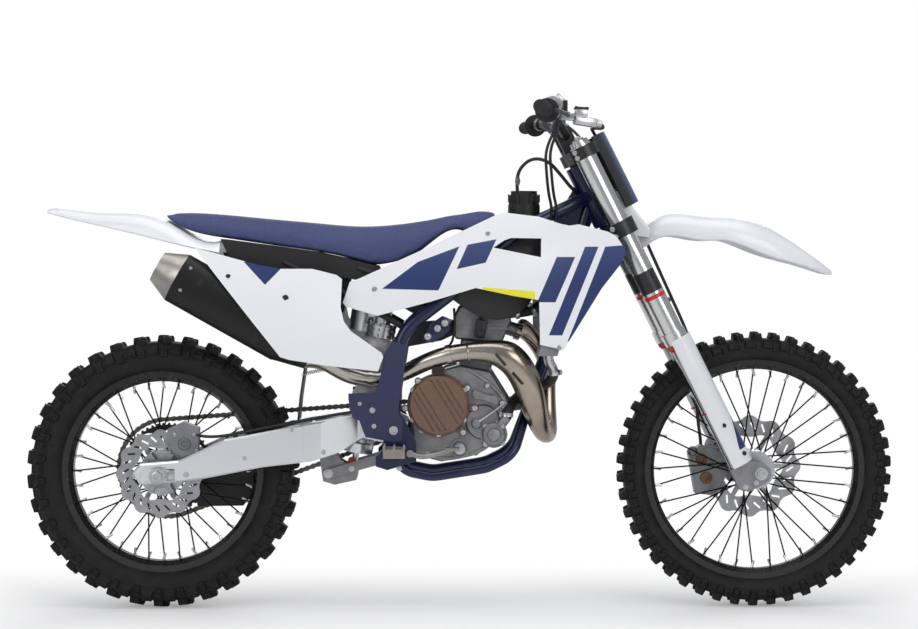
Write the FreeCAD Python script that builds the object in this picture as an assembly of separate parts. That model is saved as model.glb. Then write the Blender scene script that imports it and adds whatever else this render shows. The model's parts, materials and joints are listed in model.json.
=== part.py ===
import FreeCAD
import Part

import math
import os

from FreeCAD import Placement, Rotation, Vector

# Motocross bike in millimetres: +X forward, +Y to the rider's left, +Z up.
# It is drawn with the rear axle over X 0 and the ground at Z 0, and moved at the end
# so that the origin is the point of the seat where the rider sits.
# Places named at(x, z) are shares of the wheelbase, so the chassis grows as one.

# Driving sizes of the whole machine
wheelbase = 1485.0
rake_deg = 26.5
clamp_offset = 22.0
axle_lead = 39.0
rider_x_share = 0.320
overrun = 40.0
skin_gap = 0.3
run_gap = 0.05

# Tyres, rims, spokes and hubs
front_rim_radius = 266.0
front_tyre_height = 80.0
front_tyre_radius = front_rim_radius + front_tyre_height
front_tyre_width = 86.0
front_rim_width = 48.0
front_hub_radius = 47.0
front_hub_width = 82.0
front_disc_radius = 130.0
front_disc_y = 56.0
rear_rim_radius = 240.0
rear_tyre_height = 102.0
rear_tyre_radius = rear_rim_radius + rear_tyre_height
rear_tyre_width = 108.0
rear_rim_width = 62.0
rear_hub_radius = 56.0
rear_hub_width = 96.0
rear_disc_radius = 110.0
rear_disc_y = 66.0
rim_depth = 14.0
rim_wall = 4.0
rim_flange = 13.0
hub_core_radius = 24.0
hub_seat_radius = 36.0
hub_seat_step = 4.0
hub_flange_thickness = 6.0
spoke_radius = 1.9
spoke_lean_deg = 62.0
spokes_per_side = 18
disc_thickness = 4.0
disc_inner_share = 0.66
disc_arm_width = 16.0
disc_arms = 6
disc_wave_share = 0.085
disc_margin_share = 0.075
disc_slot_width = 5.0
disc_slot_lean_deg = 6.0

# Chain drive
chain_pitch = 15.875
rear_sprocket_teeth = 49
front_sprocket_teeth = 13
chain_y = 68.5
chain_width = 17.0
chain_height = 15.0
chain_waist = 2.0
sprocket_thickness = 6.0
tooth_gap = 1.0
tooth_depth = 5.0
sprocket_windows = 7
countershaft_x_share = 0.431
countershaft_z_share = 0.323

# Axles and the spacers that ride on them
front_axle_radius = 12.0
rear_axle_radius = 12.5
axle_nut_radius = 20.0
axle_nut_thickness = 13.0
axle_bore_radius = 6.5
spacer_radius = 19.0
spacer_gap = 0.5

# Fork, measured along the steering axis from the front axle's level
fork_half_spacing = 105.0
fork_outer_radius = 27.0
fork_inner_radius = 24.0
fork_outer_low = 381.0
fork_outer_high = 922.0
fork_collar_height = 30.0
fork_collar_radius = 31.0
fork_cap_radius = 24.0
fork_cap_height = 11.0
lug_width = 46.0
lug_low = -26.0
lug_high = 42.0
lug_radius = 25.0
upper_clamp_low = 888.0
upper_clamp_thickness = 30.0
lower_clamp_low = 674.0
lower_clamp_thickness = 38.0
clamp_ring_radius = 37.0
clamp_bridge_depth = 30.0
stem_radius = 17.0
stem_nut_radius = 20.0
stem_nut_height = 9.0
fork_guard_ledge = 12.0
fork_guard_high = 392.0
fork_guard_radius = 37.0
fork_guard_wall = 3.0
fork_guard_front_deg = 62.0
fork_guard_back_deg = 118.0

# Handlebar and what is on it
bar_radius = 12.0
bar_half_width = 402.0
bar_ahead = 2.8
bar_stack = 43.6
bar_centre_half = 74.0
bar_knee_room = 29.0
bar_knee_back = 35.6
bar_knee_rise = 45.3
bar_end_back = 78.7
bar_end_rise = 47.5
grip_radius = 16.0
grip_length = 122.0
grip_flange_radius = 29.0
grip_flange_thickness = 5.0
housing_length = 34.0
housing_radius = 27.0
perch_length = 26.0
perch_radius = 17.0
perch_gap = 10.0
lever_reach = 58.0
lever_length = 175.0
lever_thickness = 10.0
bar_cap_height = 8.0
bar_mount_half = 46.0
bar_mount_width = 30.0
bar_mount_depth = 40.0
bar_pad_half = 62.0
bar_pad_height = 23.0
bar_pad_depth = 44.0

# Front plate and front fender
plate_low = 734.0
plate_high = 929.0
plate_reach = 100.0
plate_half_width = 92.0
plate_side_reach = 60.0
plate_wall = 3.0
fender_wall = 3.0
front_fender_half_width = 92.0
rear_fender_half_width = 116.0

# Frame tubes
head_tube_radius = 29.0
head_tube_gap = 6.0
spar_radius = 16.0
spar_half_spacing = 111.0
down_tube_radius = 18.0
cradle_radius = 12.0
cradle_half_spacing = 88.0
pivot_x_share = 0.3905
pivot_z_share = 0.306
pivot_radius = 12.0

# Swingarm
arm_thickness = 32.0
arm_sprocket_room = 51.5
arm_half_width = chain_y + arm_sprocket_room
arm_front_half_width = 92.0

# Bodywork
panel_wall = 3.0
shroud_half_width = 208.0
side_panel_half_width = 172.0
seat_half_width = 98.0


def at(x_share, z_share, y=0.0):
    """A point of the chassis, its X and Z as shares of the wheelbase."""
    return Vector(x_share * wheelbase, y, z_share * wheelbase)


def mirrored(shape):
    """The same piece on the other side of the bike."""
    return shape.mirror(Vector(0, 0, 0), Vector(0, 1, 0))


def both_sides(shape):
    """A piece and its twin, as solids that don't touch."""
    return Part.makeCompound([shape, mirrored(shape)])


def cylinder_y(radius, low, high, centre):
    """A cylinder along Y from low to high, on the axis through centre."""
    start = Vector(centre.x, low, centre.z)
    return Part.makeCylinder(radius, high - low, start, Vector(0, 1, 0))


def polygon_face(points):
    return Part.Face(Part.makePolygon(points + [points[0]]))


def slab(points, low, high):
    """A side outline in the XZ plane made solid from Y low to Y high."""
    flat = [Vector(p.x, low, p.z) for p in points]
    return polygon_face(flat).extrude(Vector(0, high - low, 0))


def flat_sided(low, high):
    """A solid between two outlines with as many corners, its sides flat."""
    faces = [polygon_face(low), polygon_face(high)]
    for i in range(len(low)):
        j = (i + 1) % len(low)
        faces.append(polygon_face([low[i], low[j], high[j], high[i]]))
    return closed_solid(faces)


def closed_solid(faces):
    shell = Part.Shell(faces)
    shell.sewShape()
    solid = Part.Solid(shell)
    if solid.Volume < 0:
        solid.reverse()
    return solid


def outline(shares):
    return [at(x, z) for x, z in shares]


def rounded_path(points, bend):
    """Straight runs joined by tangent arcs of at most the radius bend."""
    edges = []
    start = points[0]
    for before, corner, after in zip(points, points[1:], points[2:]):
        into = (corner - before).normalize()
        out = (after - corner).normalize()
        half_turn = into.getAngle(out) / 2
        shorter = min((corner - before).Length, (after - corner).Length)
        cut = min(bend * math.tan(half_turn), 0.45 * shorter)
        first = corner - into * cut
        last = corner + out * cut
        sag = (first + last) * 0.5 - corner
        radius = cut / math.tan(half_turn)
        middle = corner + sag * ((math.hypot(radius, cut) - radius) / sag.Length)
        edges.append(Part.LineSegment(start, first).toShape())
        edges.append(Part.Arc(first, middle, last).toShape())
        start = last
    edges.append(Part.LineSegment(start, points[-1]).toShape())
    return Part.Wire(edges)


def tube(points, radius, bend):
    """A round bar swept along the points, its corners bent."""
    path = rounded_path(points, bend)
    ring = Part.Wire([Part.makeCircle(radius, points[0], points[1] - points[0])])
    return path.makePipeShell([ring], True, False)


def ring_wire(centre, along, radius_a, radius_b, side):
    """An ellipse at centre, square to along, with radius_a towards side."""
    normal = Vector(along).normalize()
    across = (side - normal * side.dot(normal)).normalize()
    up = normal.cross(across)
    if radius_a >= radius_b:
        curve = Part.Ellipse(centre + across * radius_a, centre + up * radius_b, centre)
    else:
        curve = Part.Ellipse(centre + up * radius_b, centre - across * radius_a, centre)
    return Part.Wire([curve.toShape()])


def round_wire(centre, along, radius, side):
    """A circle at centre, square to along, that starts on the same side each time."""
    normal = Vector(along).normalize()
    across = (side - normal * side.dot(normal)).normalize()
    wire = Part.Wire([Part.makeCircle(radius)])
    wire.Placement = Placement(centre, Rotation(across, normal.cross(across), normal, "ZXY"))
    return wire


def pipe(points, radii, side, first_way, last_way):
    """A pipe of changing radius through the points, as one loft."""
    spline = Part.BSplineCurve()
    spline.interpolate(points, False, run_gap, InitialTangent=first_way, FinalTangent=last_way)
    wires = []
    for point, radius in zip(points, radii):
        tangent = spline.tangent(spline.parameter(point))[0]
        wires.append(round_wire(point, tangent, radius, side))
    return Part.makeLoft(wires, True, False)


def spline_edge(points):
    curve = Part.BSplineCurve()
    curve.interpolate(points)
    return curve.toShape()


def band_wire(outer, inner):
    """A closed section between two curves that run the same way."""
    edges = [
        spline_edge(outer),
        Part.LineSegment(outer[-1], inner[-1]).toShape(),
        spline_edge(inner[::-1]),
        Part.LineSegment(inner[0], outer[0]).toShape(),
    ]
    return Part.Wire(edges)


def side_skin(stations, z_shares, half_width, wall):
    """A curved wall on the right side: at each station its half widths go up with z_shares."""
    wires = []
    for x_share, width_shares in stations:
        outer = []
        inner = []
        for z_share, width_share in zip(z_shares, width_shares):
            outer.append(at(x_share, z_share, -half_width * width_share))
            inner.append(at(x_share, z_share, -half_width * width_share + wall))
        wires.append(band_wire(outer, inner))
    return Part.makeLoft(wires, True, False)


def arch_wire(x_share, crest_share, edge_share, half_width, wall, shoulder_share):
    """A section across a fender: a crown with sides that drop."""
    crest = crest_share * wheelbase
    drop = crest - edge_share * wheelbase
    x = x_share * wheelbase
    shoulder = half_width * shoulder_share
    profile = [
        (-half_width, crest - drop),
        (-shoulder, crest - drop * 0.28),
        (0.0, crest),
        (shoulder, crest - drop * 0.28),
        (half_width, crest - drop),
    ]
    outer = [Vector(x, y, z) for y, z in profile]
    inner_share = (half_width - wall) / half_width
    inner = [Vector(x, y * inner_share, z - wall) for y, z in profile]
    return band_wire(outer, inner)


def fender(stations, half_width, wall, shoulder_share):
    wires = []
    for x_share, crest_share, edge_share, width_share in stations:
        wires.append(
            arch_wire(x_share, crest_share, edge_share, half_width * width_share, wall, shoulder_share)
        )
    return Part.makeLoft(wires, True, False)


fender_pad_length = 36.0
fender_pad_half_width = 30.0
fender_pad_height = 12.0


def front_fender():
    """The front fender with the pad that bolts up under the lower clamp."""
    shell = fender(front_fender_shares, front_fender_half_width, fender_wall, 0.8)
    top = lower_clamp_low - skin_gap
    low = Vector(clamp_offset, -fender_pad_half_width, top - fender_pad_height)
    pad = Part.makeBox(fender_pad_length, 2 * fender_pad_half_width, fender_pad_height, low)
    return shell.fuse(placed(pad))


# The steering axis, and the place where the front axle's level meets it
rake = math.radians(rake_deg)
front_axle = Vector(wheelbase, 0, front_tyre_radius)
rear_axle = Vector(0, 0, rear_tyre_radius)
axle_offset = clamp_offset + axle_lead
steering_foot = front_axle - Vector(math.cos(rake), 0, math.sin(rake)) * axle_offset
steering_frame = Placement(steering_foot, Rotation(Vector(0, 1, 0), -rake_deg))
pivot = at(pivot_x_share, pivot_z_share)
countershaft = at(countershaft_x_share, countershaft_z_share)


def on_fork(forward, y, up):
    """A point given forward of the steering axis, to the left, and up along it."""
    return steering_frame.multVec(Vector(forward, y, up))


def placed(shape):
    """A piece drawn upright about the steering axis, set at the rake."""
    done = shape.copy()
    done.Placement = steering_frame.multiply(done.Placement)
    return done


def revolved(profile, centre):
    """A section of (radius, y) points turned about the wheel axis through centre."""
    points = [Vector(centre.x + r, y, centre.z) for r, y in profile]
    return polygon_face(points).revolve(centre, Vector(0, 1, 0), 360)


# Half of the carcass section outside the rim, as shares of its depth and of the half width
carcass_shares = [(0.30, 0.91), (0.66, 0.84), (0.92, 0.56), (1.00, 0.27)]
hollow_shares = (0.74, 0.62)
tyre_flats = 34
lug_height = 15.0
lug_root = 3.0
lug_taper_share = 0.86
# How much of its flat a lug covers across the tyre and along it
lug_cover_shares = (0.80, 0.40)
shoulder_face, crown_face = 1, 2


def faceted_ring(section, count, centre):
    """A closed section of (radius, side) carried round the Y axis in flats."""
    rings = []
    for i in range(count):
        turn = 2 * math.pi * i / count
        way = Vector(math.cos(turn), 0, math.sin(turn))
        rings.append([centre + way * radius + Vector(0, y, 0) for radius, y in section])
    faces = []
    for here, there in zip(rings, rings[1:] + rings[:1]):
        for j in range(len(section)):
            k = (j + 1) % len(section)
            faces.append(polygon_face([here[j], here[k], there[k], there[j]]))
    return closed_solid(faces)


def lug(low, high, way):
    """A lug on one face of a flat; low and high are the face's (radius, side) corners."""
    run = Vector(0, high[1] - low[1], 0) + way * (high[0] - low[0])
    middle = way * ((low[0] + high[0]) / 2) + Vector(0, (low[1] + high[1]) / 2, 0)
    along = way.cross(Vector(0, 1, 0))
    up = run.cross(along).normalize()
    if up.dot(way) < 0:
        up = -up
    flat = 2 * min(low[0], high[0]) * math.tan(math.pi / tyre_flats)
    across_half = run * (lug_cover_shares[0] / 2)
    along_half = along * (flat * lug_cover_shares[1] / 2)
    ends = []
    for rise, share in ((-lug_root, 1.0), (lug_height, lug_taper_share)):
        spot = middle + up * rise
        ends.append([spot + (across_half * a + along_half * b) * share
                     for a, b in ((-1, -1), (1, -1), (1, 1), (-1, 1))])
    return flat_sided(*ends)


def lugs_on_flat(half_section, i, centre):
    """Every other flat has a middle lug and two shoulder lugs, the rest a pair between them."""
    turn = 2 * math.pi * (i + 0.5) / tyre_flats
    way = Vector(math.cos(turn), 0, math.sin(turn))
    inward = math.cos(math.pi / tyre_flats)
    corners = [(radius * inward, y) for radius, y in half_section]
    made = []
    face = crown_face
    if i % 2:
        face = shoulder_face
        radius, y = corners[-1]
        made.append(lug((radius, -y), (radius, y), way))
    side_lug = lug(corners[face], corners[face + 1], way)
    made += [side_lug, mirrored(side_lug)]
    for shape in made:
        shape.translate(centre)
    return made


def tyre(radius, rim_radius, width, rim_width, centre):
    """A hollow faceted carcass with rows of tall lugs on its flats."""
    facet = 1 / math.cos(math.pi / tyre_flats)
    seat = (rim_radius + skin_gap) * facet
    base = (rim_radius + rim_flange + skin_gap) * facet
    depth = (radius - lug_height) * facet - base
    bead = rim_width / 2 - rim_wall - skin_gap
    half = [(base + depth * r, width / 2 * w) for r, w in carcass_shares]
    hollow_radius = base + depth * hollow_shares[0]
    hollow_side = width / 2 * hollow_shares[1]
    side = [(seat, bead * 0.7), (seat, bead), (base, bead)] + half
    section = side + [(r, -y) for r, y in reversed(side)]
    section += [(hollow_radius, -hollow_side), (hollow_radius, hollow_side)]
    lugs = []
    for i in range(tyre_flats):
        lugs += lugs_on_flat(half, i, centre)
    return faceted_ring(section, tyre_flats, centre).fuse(lugs)


def rim(rim_radius, width, centre):
    """A drop-centre rim with a flange each side."""
    half = width / 2
    well = rim_radius - rim_depth
    profile = [
        (rim_radius + rim_flange, -half), (rim_radius + rim_flange, -half + rim_wall),
        (rim_radius, -half + rim_wall), (rim_radius - rim_wall, -half * 0.5),
        (well + rim_wall, -half * 0.3), (well + rim_wall, half * 0.3),
        (rim_radius - rim_wall, half * 0.5), (rim_radius, half - rim_wall),
        (rim_radius + rim_flange, half - rim_wall), (rim_radius + rim_flange, half),
        (rim_radius - rim_wall, half), (well, half * 0.4), (well, -half * 0.4),
        (rim_radius - rim_wall, -half),
    ]
    return revolved(profile, centre)


def hub_and_spokes(hub_radius, hub_width, rim_radius, axle_radius, spacer_half, seats, centre):
    """A spool hub with two flanges, seats for what bolts to it, its bore and its laced spokes."""
    half = hub_width / 2
    inner = half - hub_flange_thickness
    right_seat, left_seat = seats
    profile = [
        (axle_radius + run_gap, -spacer_half), (spacer_radius, -spacer_half), (spacer_radius, right_seat),
        (hub_seat_radius, right_seat), (hub_seat_radius, -half),
        (hub_radius, -half), (hub_radius, -inner), (hub_core_radius, -inner * 0.8),
        (hub_core_radius, inner * 0.8), (hub_radius, inner), (hub_radius, half),
        (hub_seat_radius, half), (hub_seat_radius, left_seat), (spacer_radius, left_seat),
        (spacer_radius, spacer_half), (axle_radius + run_gap, spacer_half),
    ]
    pieces = []
    root = hub_radius - hub_flange_thickness
    tip = rim_radius - rim_depth - spoke_radius * 0.5
    step = 2 * math.pi / spokes_per_side
    lean = math.radians(spoke_lean_deg)
    for side in (-1, 1):
        for i in range(spokes_per_side):
            turn = i * step + (step / 2 if side > 0 else 0)
            way = 1 if i % 2 else -1
            y_root = side * (half - hub_flange_thickness * (0.15 if way > 0 else 0.85))
            foot_turn = turn - way * lean * 0.5
            foot = Vector(root * math.cos(foot_turn), y_root, root * math.sin(foot_turn))
            head = Vector(tip * math.cos(turn), side * rim_wall, tip * math.sin(turn))
            run = head - foot
            pieces.append(Part.makeCylinder(spoke_radius, run.Length, centre + foot, run))
    return revolved(profile, centre).fuse(pieces)


def arc(first, middle, last):
    return Part.Arc(first, middle, last).toShape()


def wavy_plate(radius, depth, waves, centre, low, high):
    """A round plate whose edge dips by depth at each wave, made of arcs."""
    edges = []
    step = math.pi / waves
    for i in range(2 * waves):
        bulge = radius if i % 2 == 0 else radius - depth
        turn = i * step
        ends = [centre + heading(turn + side * step / 2) * (radius - depth / 2) for side in (-1, 1)]
        edges.append(arc(ends[0], centre + heading(turn) * bulge, ends[1]))
    wire = Part.Wire(edges)
    wire.translate(Vector(0, low - centre.y, 0))
    return Part.Face(wire).extrude(Vector(0, high - low, 0))


def slot(first, last, width, low, high):
    """A round-ended cut along Y between two places."""
    run = (last - first).normalize()
    side = Vector(run.z, 0, -run.x) * (width / 2)
    edges = [
        Part.LineSegment(first + side, last + side).toShape(),
        arc(last + side, last + run * (width / 2), last - side),
        Part.LineSegment(last - side, first - side).toShape(),
        arc(first - side, first - run * (width / 2), first + side),
    ]
    wire = Part.Wire(edges)
    wire.translate(Vector(0, low - first.y, 0))
    return Part.Face(wire).extrude(Vector(0, high - low, 0))


def brake_disc(radius, y_low, bore_radius, centre):
    """A wavy ring with slanted slots, on arms in to the hub."""
    high = y_low + disc_thickness
    through = (y_low - overrun, high + overrun)
    wave = radius * disc_wave_share
    inner = radius * disc_inner_share
    ring = wavy_plate(radius, wave, 2 * disc_arms, centre, y_low, high)
    ring = ring.cut(wavy_plate(inner, wave, disc_arms, centre, *through))
    margin = radius * disc_margin_share
    slots = []
    for i in range(4 * disc_arms):
        turn = 2 * math.pi * (i + 0.5) / (4 * disc_arms)
        lean = math.radians(disc_slot_lean_deg)
        first = centre + heading(turn) * (inner + margin)
        last = centre + heading(turn + lean) * (radius - wave - margin)
        slots.append(slot(first, last, disc_slot_width, *through))
    arms = [cylinder_y(hub_seat_radius, y_low, high, centre)]
    reach = (inner + radius - wave) / 2
    for i in range(disc_arms):
        turn = 2 * math.pi * i / disc_arms
        out = heading(turn)
        side = Vector(-out.z, 0, out.x) * (disc_arm_width / 2)
        tip = centre + out * reach
        arms.append(slab([centre - side, centre + side, tip + side * 0.6, tip - side * 0.6], y_low, high))
    return ring.fuse(arms).cut(slots + [cylinder_y(bore_radius, *through, centre)])


sprocket_pitch_radius = chain_pitch / (2 * math.sin(math.pi / rear_sprocket_teeth))
drive_pitch_radius = chain_pitch / (2 * math.sin(math.pi / front_sprocket_teeth))
sprocket_tip_radius = sprocket_pitch_radius - chain_height / 2 - tooth_gap
drive_tip_radius = drive_pitch_radius - chain_height / 2 - tooth_gap


def sprocket(teeth, tip_radius, bore_radius, centre, y_low, windows):
    """A toothed plate, lightened by rounded windows between its spokes."""
    high = y_low + sprocket_thickness
    points = []
    for i in range(teeth):
        for share, radius in ((-0.30, tip_radius - tooth_depth), (-0.12, tip_radius), (0.12, tip_radius),
                              (0.30, tip_radius - tooth_depth)):
            turn = 2 * math.pi * (i + share) / teeth
            points.append(centre + Vector(math.cos(turn), 0, math.sin(turn)) * radius)
    cuts = [cylinder_y(bore_radius, y_low - overrun, high + overrun, centre)]
    rim_radius = tip_radius - 2.2 * tooth_depth
    root_radius = hub_seat_radius + hub_flange_thickness
    for i in range(windows):
        middle = (rim_radius + root_radius) / 2
        size = (rim_radius - root_radius) / 2
        turn = 2 * math.pi * (i + 0.5) / windows
        spot = centre + Vector(math.cos(turn), 0, math.sin(turn)) * middle
        cuts.append(cylinder_y(size, y_low - overrun, high + overrun, spot))
    return slab(points, y_low, high).cut(cuts)


def pitch_arcs():
    """The pitch line's arcs round the two sprockets: centre, radius, first angle and sweep."""
    gap = countershaft - rear_axle
    base = math.atan2(gap.z, gap.x)
    tilt = math.acos((sprocket_pitch_radius - drive_pitch_radius) / gap.Length)
    return [
        (countershaft, drive_pitch_radius, base + tilt, 2 * tilt),
        (rear_axle, sprocket_pitch_radius, base - tilt, 2 * (math.pi - tilt)),
    ]


def heading(turn):
    return Vector(math.cos(turn), 0, math.sin(turn))


def chain_walk(steps):
    """Even places round the loop, each with the way out from the loop's middle."""
    gap = (countershaft - rear_axle).Length
    straight = math.sqrt(gap ** 2 - (sprocket_pitch_radius - drive_pitch_radius) ** 2)
    loop = sum(straight + radius * sweep for centre, radius, first, sweep in pitch_arcs())
    places = []
    for i in range(steps):
        walk = loop * i / steps
        for centre, radius, first, sweep in pitch_arcs():
            out = heading(first - max(walk - straight, 0) / radius)
            spot = centre + out * radius
            if walk < straight:
                spot += Vector(out.z, 0, -out.x) * (walk - straight)
            walk -= straight + radius * sweep
            if walk < 0:
                break
        places.append((spot, out))
    return places


def chain_links():
    """How many links the loop has: an even number, as a joined chain needs."""
    gap = (countershaft - rear_axle).Length
    spread = (sprocket_pitch_radius - drive_pitch_radius) / gap
    length = 2 * gap * math.sqrt(1 - spread ** 2)
    length += math.pi * (sprocket_pitch_radius + drive_pitch_radius)
    length += 2 * math.asin(spread) * (sprocket_pitch_radius - drive_pitch_radius)
    return 2 * round(length / chain_pitch / 2)


def chain():
    """The chain as one loop round both sprockets, each link round at its ends and waisted."""
    links = chain_links()
    outside = []
    for i, (spot, out) in enumerate(chain_walk(2 * links)):
        outside.append(spot + out * (chain_height / 2 - chain_waist * (i % 2)))
    inside = []
    for centre, radius, first, sweep in pitch_arcs():
        steps = math.ceil(radius * sweep / chain_pitch)
        for i in range(steps + 1):
            inside.append(centre + heading(first - sweep * i / steps) * (radius - chain_height / 2))
    low = chain_y - chain_width / 2
    loop = slab(outside, low, low + chain_width)
    return loop.cut(slab(inside, low - overrun, low + chain_width + overrun))


def axle(radius, seat_half, nut_side, centre):
    """A hollow through axle, flush on one side and with its nut outside the other seat."""
    end = seat_half + axle_nut_thickness
    low, high = (-end, seat_half) if nut_side < 0 else (-seat_half, end)
    bar = cylinder_y(radius, low, high, centre)
    start = -end if nut_side < 0 else seat_half
    corners = []
    for i in range(6):
        turn = i * math.pi / 3
        corners.append(centre + Vector(math.cos(turn), 0, math.sin(turn)) * axle_nut_radius)
    whole = bar.fuse(slab(corners, start, start + axle_nut_thickness))
    return whole.cut(cylinder_y(axle_bore_radius, -wheelbase, wheelbase, centre))


def fork_leg_axis(y):
    return Vector(clamp_offset, y, 0)


def fork_outers():
    foot = fork_leg_axis(-fork_half_spacing)
    up = Vector(0, 0, 1)
    leg = Part.makeCylinder(fork_outer_radius, fork_outer_high - fork_outer_low,
                            foot + up * fork_outer_low, up)
    collar = Part.makeCylinder(fork_collar_radius, fork_collar_height, foot + up * fork_outer_low, up)
    cap = Part.makeCylinder(fork_cap_radius, fork_cap_height, foot + up * fork_outer_high, up)
    return both_sides(placed(leg.fuse([collar, cap])))


def fork_inners():
    foot = fork_leg_axis(-fork_half_spacing)
    up = Vector(0, 0, 1)
    leg = Part.makeCylinder(fork_inner_radius, fork_outer_low - lug_high, foot + up * lug_high, up)
    return both_sides(placed(leg))


def axle_lugs():
    """The castings that close the fork legs and hold the front axle ahead of them."""
    low = -fork_half_spacing - lug_width / 2
    high = low + lug_width
    boss = Vector(axle_offset, 0, 0)
    leg_x = clamp_offset
    body = slab([
        Vector(leg_x - lug_radius, 0, lug_high), Vector(leg_x - lug_radius, 0, lug_low * 0.5),
        Vector(leg_x - lug_radius * 0.3, 0, lug_low), Vector(axle_offset, 0, lug_low),
        Vector(axle_offset + lug_radius * 0.7, 0, lug_radius * 0.7),
        Vector(leg_x + lug_radius, 0, lug_high),
    ], low, high)
    lug = body.fuse(cylinder_y(lug_radius, low, high, boss))
    lug = lug.cut(cylinder_y(front_axle_radius, low - overrun, high + overrun, boss))
    return both_sides(placed(lug))


def ring_sector(inner, outer, low, high):
    """Part of a ring about the right fork leg, over its front and its outside."""
    centre = Vector(clamp_offset, -fork_half_spacing, low)
    start = math.radians(-fork_guard_back_deg)
    end = math.radians(fork_guard_front_deg)
    middle = (start + end) / 2

    def rim_point(radius, turn):
        return centre + Vector(math.cos(turn), math.sin(turn), 0) * radius

    edges = [
        Part.Arc(rim_point(outer, start), rim_point(outer, middle), rim_point(outer, end)).toShape(),
        Part.LineSegment(rim_point(outer, end), rim_point(inner, end)).toShape(),
        Part.Arc(rim_point(inner, end), rim_point(inner, middle), rim_point(inner, start)).toShape(),
        Part.LineSegment(rim_point(inner, start), rim_point(outer, start)).toShape(),
    ]
    return Part.Face(Part.Wire(edges)).extrude(Vector(0, 0, high - low))


def fork_guards():
    """Plastic shields over the lower fork tubes, each with a ledge that seats on its axle lug."""
    low = lug_high + skin_gap
    shell = ring_sector(fork_guard_radius - fork_guard_wall, fork_guard_radius, low, fork_guard_high)
    ledge = ring_sector(fork_inner_radius + skin_gap, fork_guard_radius, low, low + fork_guard_ledge)
    return both_sides(placed(shell.fuse(ledge)))


def triple_clamp(low, thickness, bore_radius):
    """A clamp plate with a ring round each fork leg and a bridge to the stem."""
    up = Vector(0, 0, thickness)
    rings = []
    holes = []
    for y in (-fork_half_spacing, fork_half_spacing):
        foot = fork_leg_axis(y) + Vector(0, 0, low)
        rings.append(Part.makeCylinder(clamp_ring_radius, thickness, foot))
        holes.append(Part.makeCylinder(bore_radius, thickness + 2 * overrun, foot - Vector(0, 0, overrun)))
    depth = clamp_bridge_depth
    bridge = Part.Face(Part.makePolygon([
        Vector(clamp_offset - depth / 2, -fork_half_spacing, low), Vector(-depth, 0, low),
        Vector(clamp_offset - depth / 2, fork_half_spacing, low),
        Vector(clamp_offset + depth / 2, fork_half_spacing, low),
        Vector(clamp_offset + depth / 2, -fork_half_spacing, low),
        Vector(clamp_offset - depth / 2, -fork_half_spacing, low),
    ])).extrude(up)
    hub = Part.makeCylinder(depth, thickness, Vector(0, 0, low))
    return placed(bridge.fuse(rings + [hub]).cut(holes))


def steering_stem():
    """The stem through the head tube, with its nut on top."""
    low = lower_clamp_low + lower_clamp_thickness
    stem = Part.makeCylinder(stem_radius, upper_clamp_low - low, Vector(0, 0, low))
    top = upper_clamp_low + upper_clamp_thickness
    nut = Part.makeCylinder(stem_nut_radius, stem_nut_height, Vector(0, 0, top))
    return placed(stem), placed(nut)


bar_centre = on_fork(bar_ahead, -bar_centre_half, upper_clamp_low + upper_clamp_thickness + bar_stack)
bar_controls = grip_length + grip_flange_thickness + housing_length + perch_gap + perch_length
bar_knee_half = bar_half_width - bar_controls - bar_knee_room
bar_knee = bar_centre + Vector(-bar_knee_back, bar_centre_half - bar_knee_half, bar_knee_rise)
bar_end = bar_centre + Vector(-bar_end_back, bar_centre_half - bar_half_width, bar_end_rise)
grip_way = (bar_knee - bar_end).normalize()
bar_bend = 60.0


def handlebar():
    points = [bar_end, bar_knee, bar_centre]
    points += [Vector(p.x, -p.y, p.z) for p in reversed(points)]
    return tube(points, bar_radius, bar_bend)


def grips():
    """Rubber grips over the bar's ends, with a round flange at the inner end."""
    outside = bar_end - grip_way * (bar_radius * 0.5)
    sleeve = Part.makeCylinder(grip_radius, grip_length, outside, grip_way)
    flange = Part.makeCylinder(grip_flange_radius, grip_flange_thickness,
                               outside + grip_way * grip_length, grip_way)
    hole = Part.makeCylinder(bar_radius, grip_length + overrun, bar_end, grip_way)
    return both_sides(sleeve.fuse(flange).cut(hole))


housing_start = bar_end + grip_way * (grip_length + grip_flange_thickness - bar_radius * 0.5 + spacer_gap)


def throttle_housing():
    body = Part.makeCylinder(housing_radius, housing_length, housing_start, grip_way)
    hole = Part.makeCylinder(bar_radius, housing_length + 2 * overrun,
                             housing_start - grip_way * overrun, grip_way)
    return body.cut(hole)


def lever_set(has_reservoir):
    """A perch clamped on the bar, with a lever ahead of the grip."""
    start = housing_start + grip_way * (housing_length + perch_gap)
    forward = Vector(math.cos(rake), 0, -math.sin(rake) * 0.4).normalize()
    clamp = Part.makeCylinder(perch_radius, perch_length, start, grip_way)
    hole = Part.makeCylinder(bar_radius, perch_length + 2 * overrun, start - grip_way * overrun, grip_way)
    root = start + grip_way * perch_length + forward * lever_reach * 0.75
    neck = Part.makeCylinder(perch_radius * 0.6, lever_reach * 0.8,
                             start + grip_way * (perch_length * 0.5), forward)
    out = grip_way * -1
    tip = root + out * lever_length - forward * (lever_reach * 0.12)
    middle = root + out * (lever_length * 0.45) + forward * (lever_reach * 0.1)
    blade = tube([root, middle, tip], lever_thickness / 2, lever_length)
    pieces = [neck, blade]
    if has_reservoir:
        pot = root - forward * (lever_reach * 0.35) + Vector(0, 0, perch_radius * 0.4)
        pieces.append(Part.makeCylinder(perch_radius, perch_radius * 1.6, pot, Vector(0, 0, 1)))
    return clamp.fuse(pieces).cut(hole)


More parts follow.
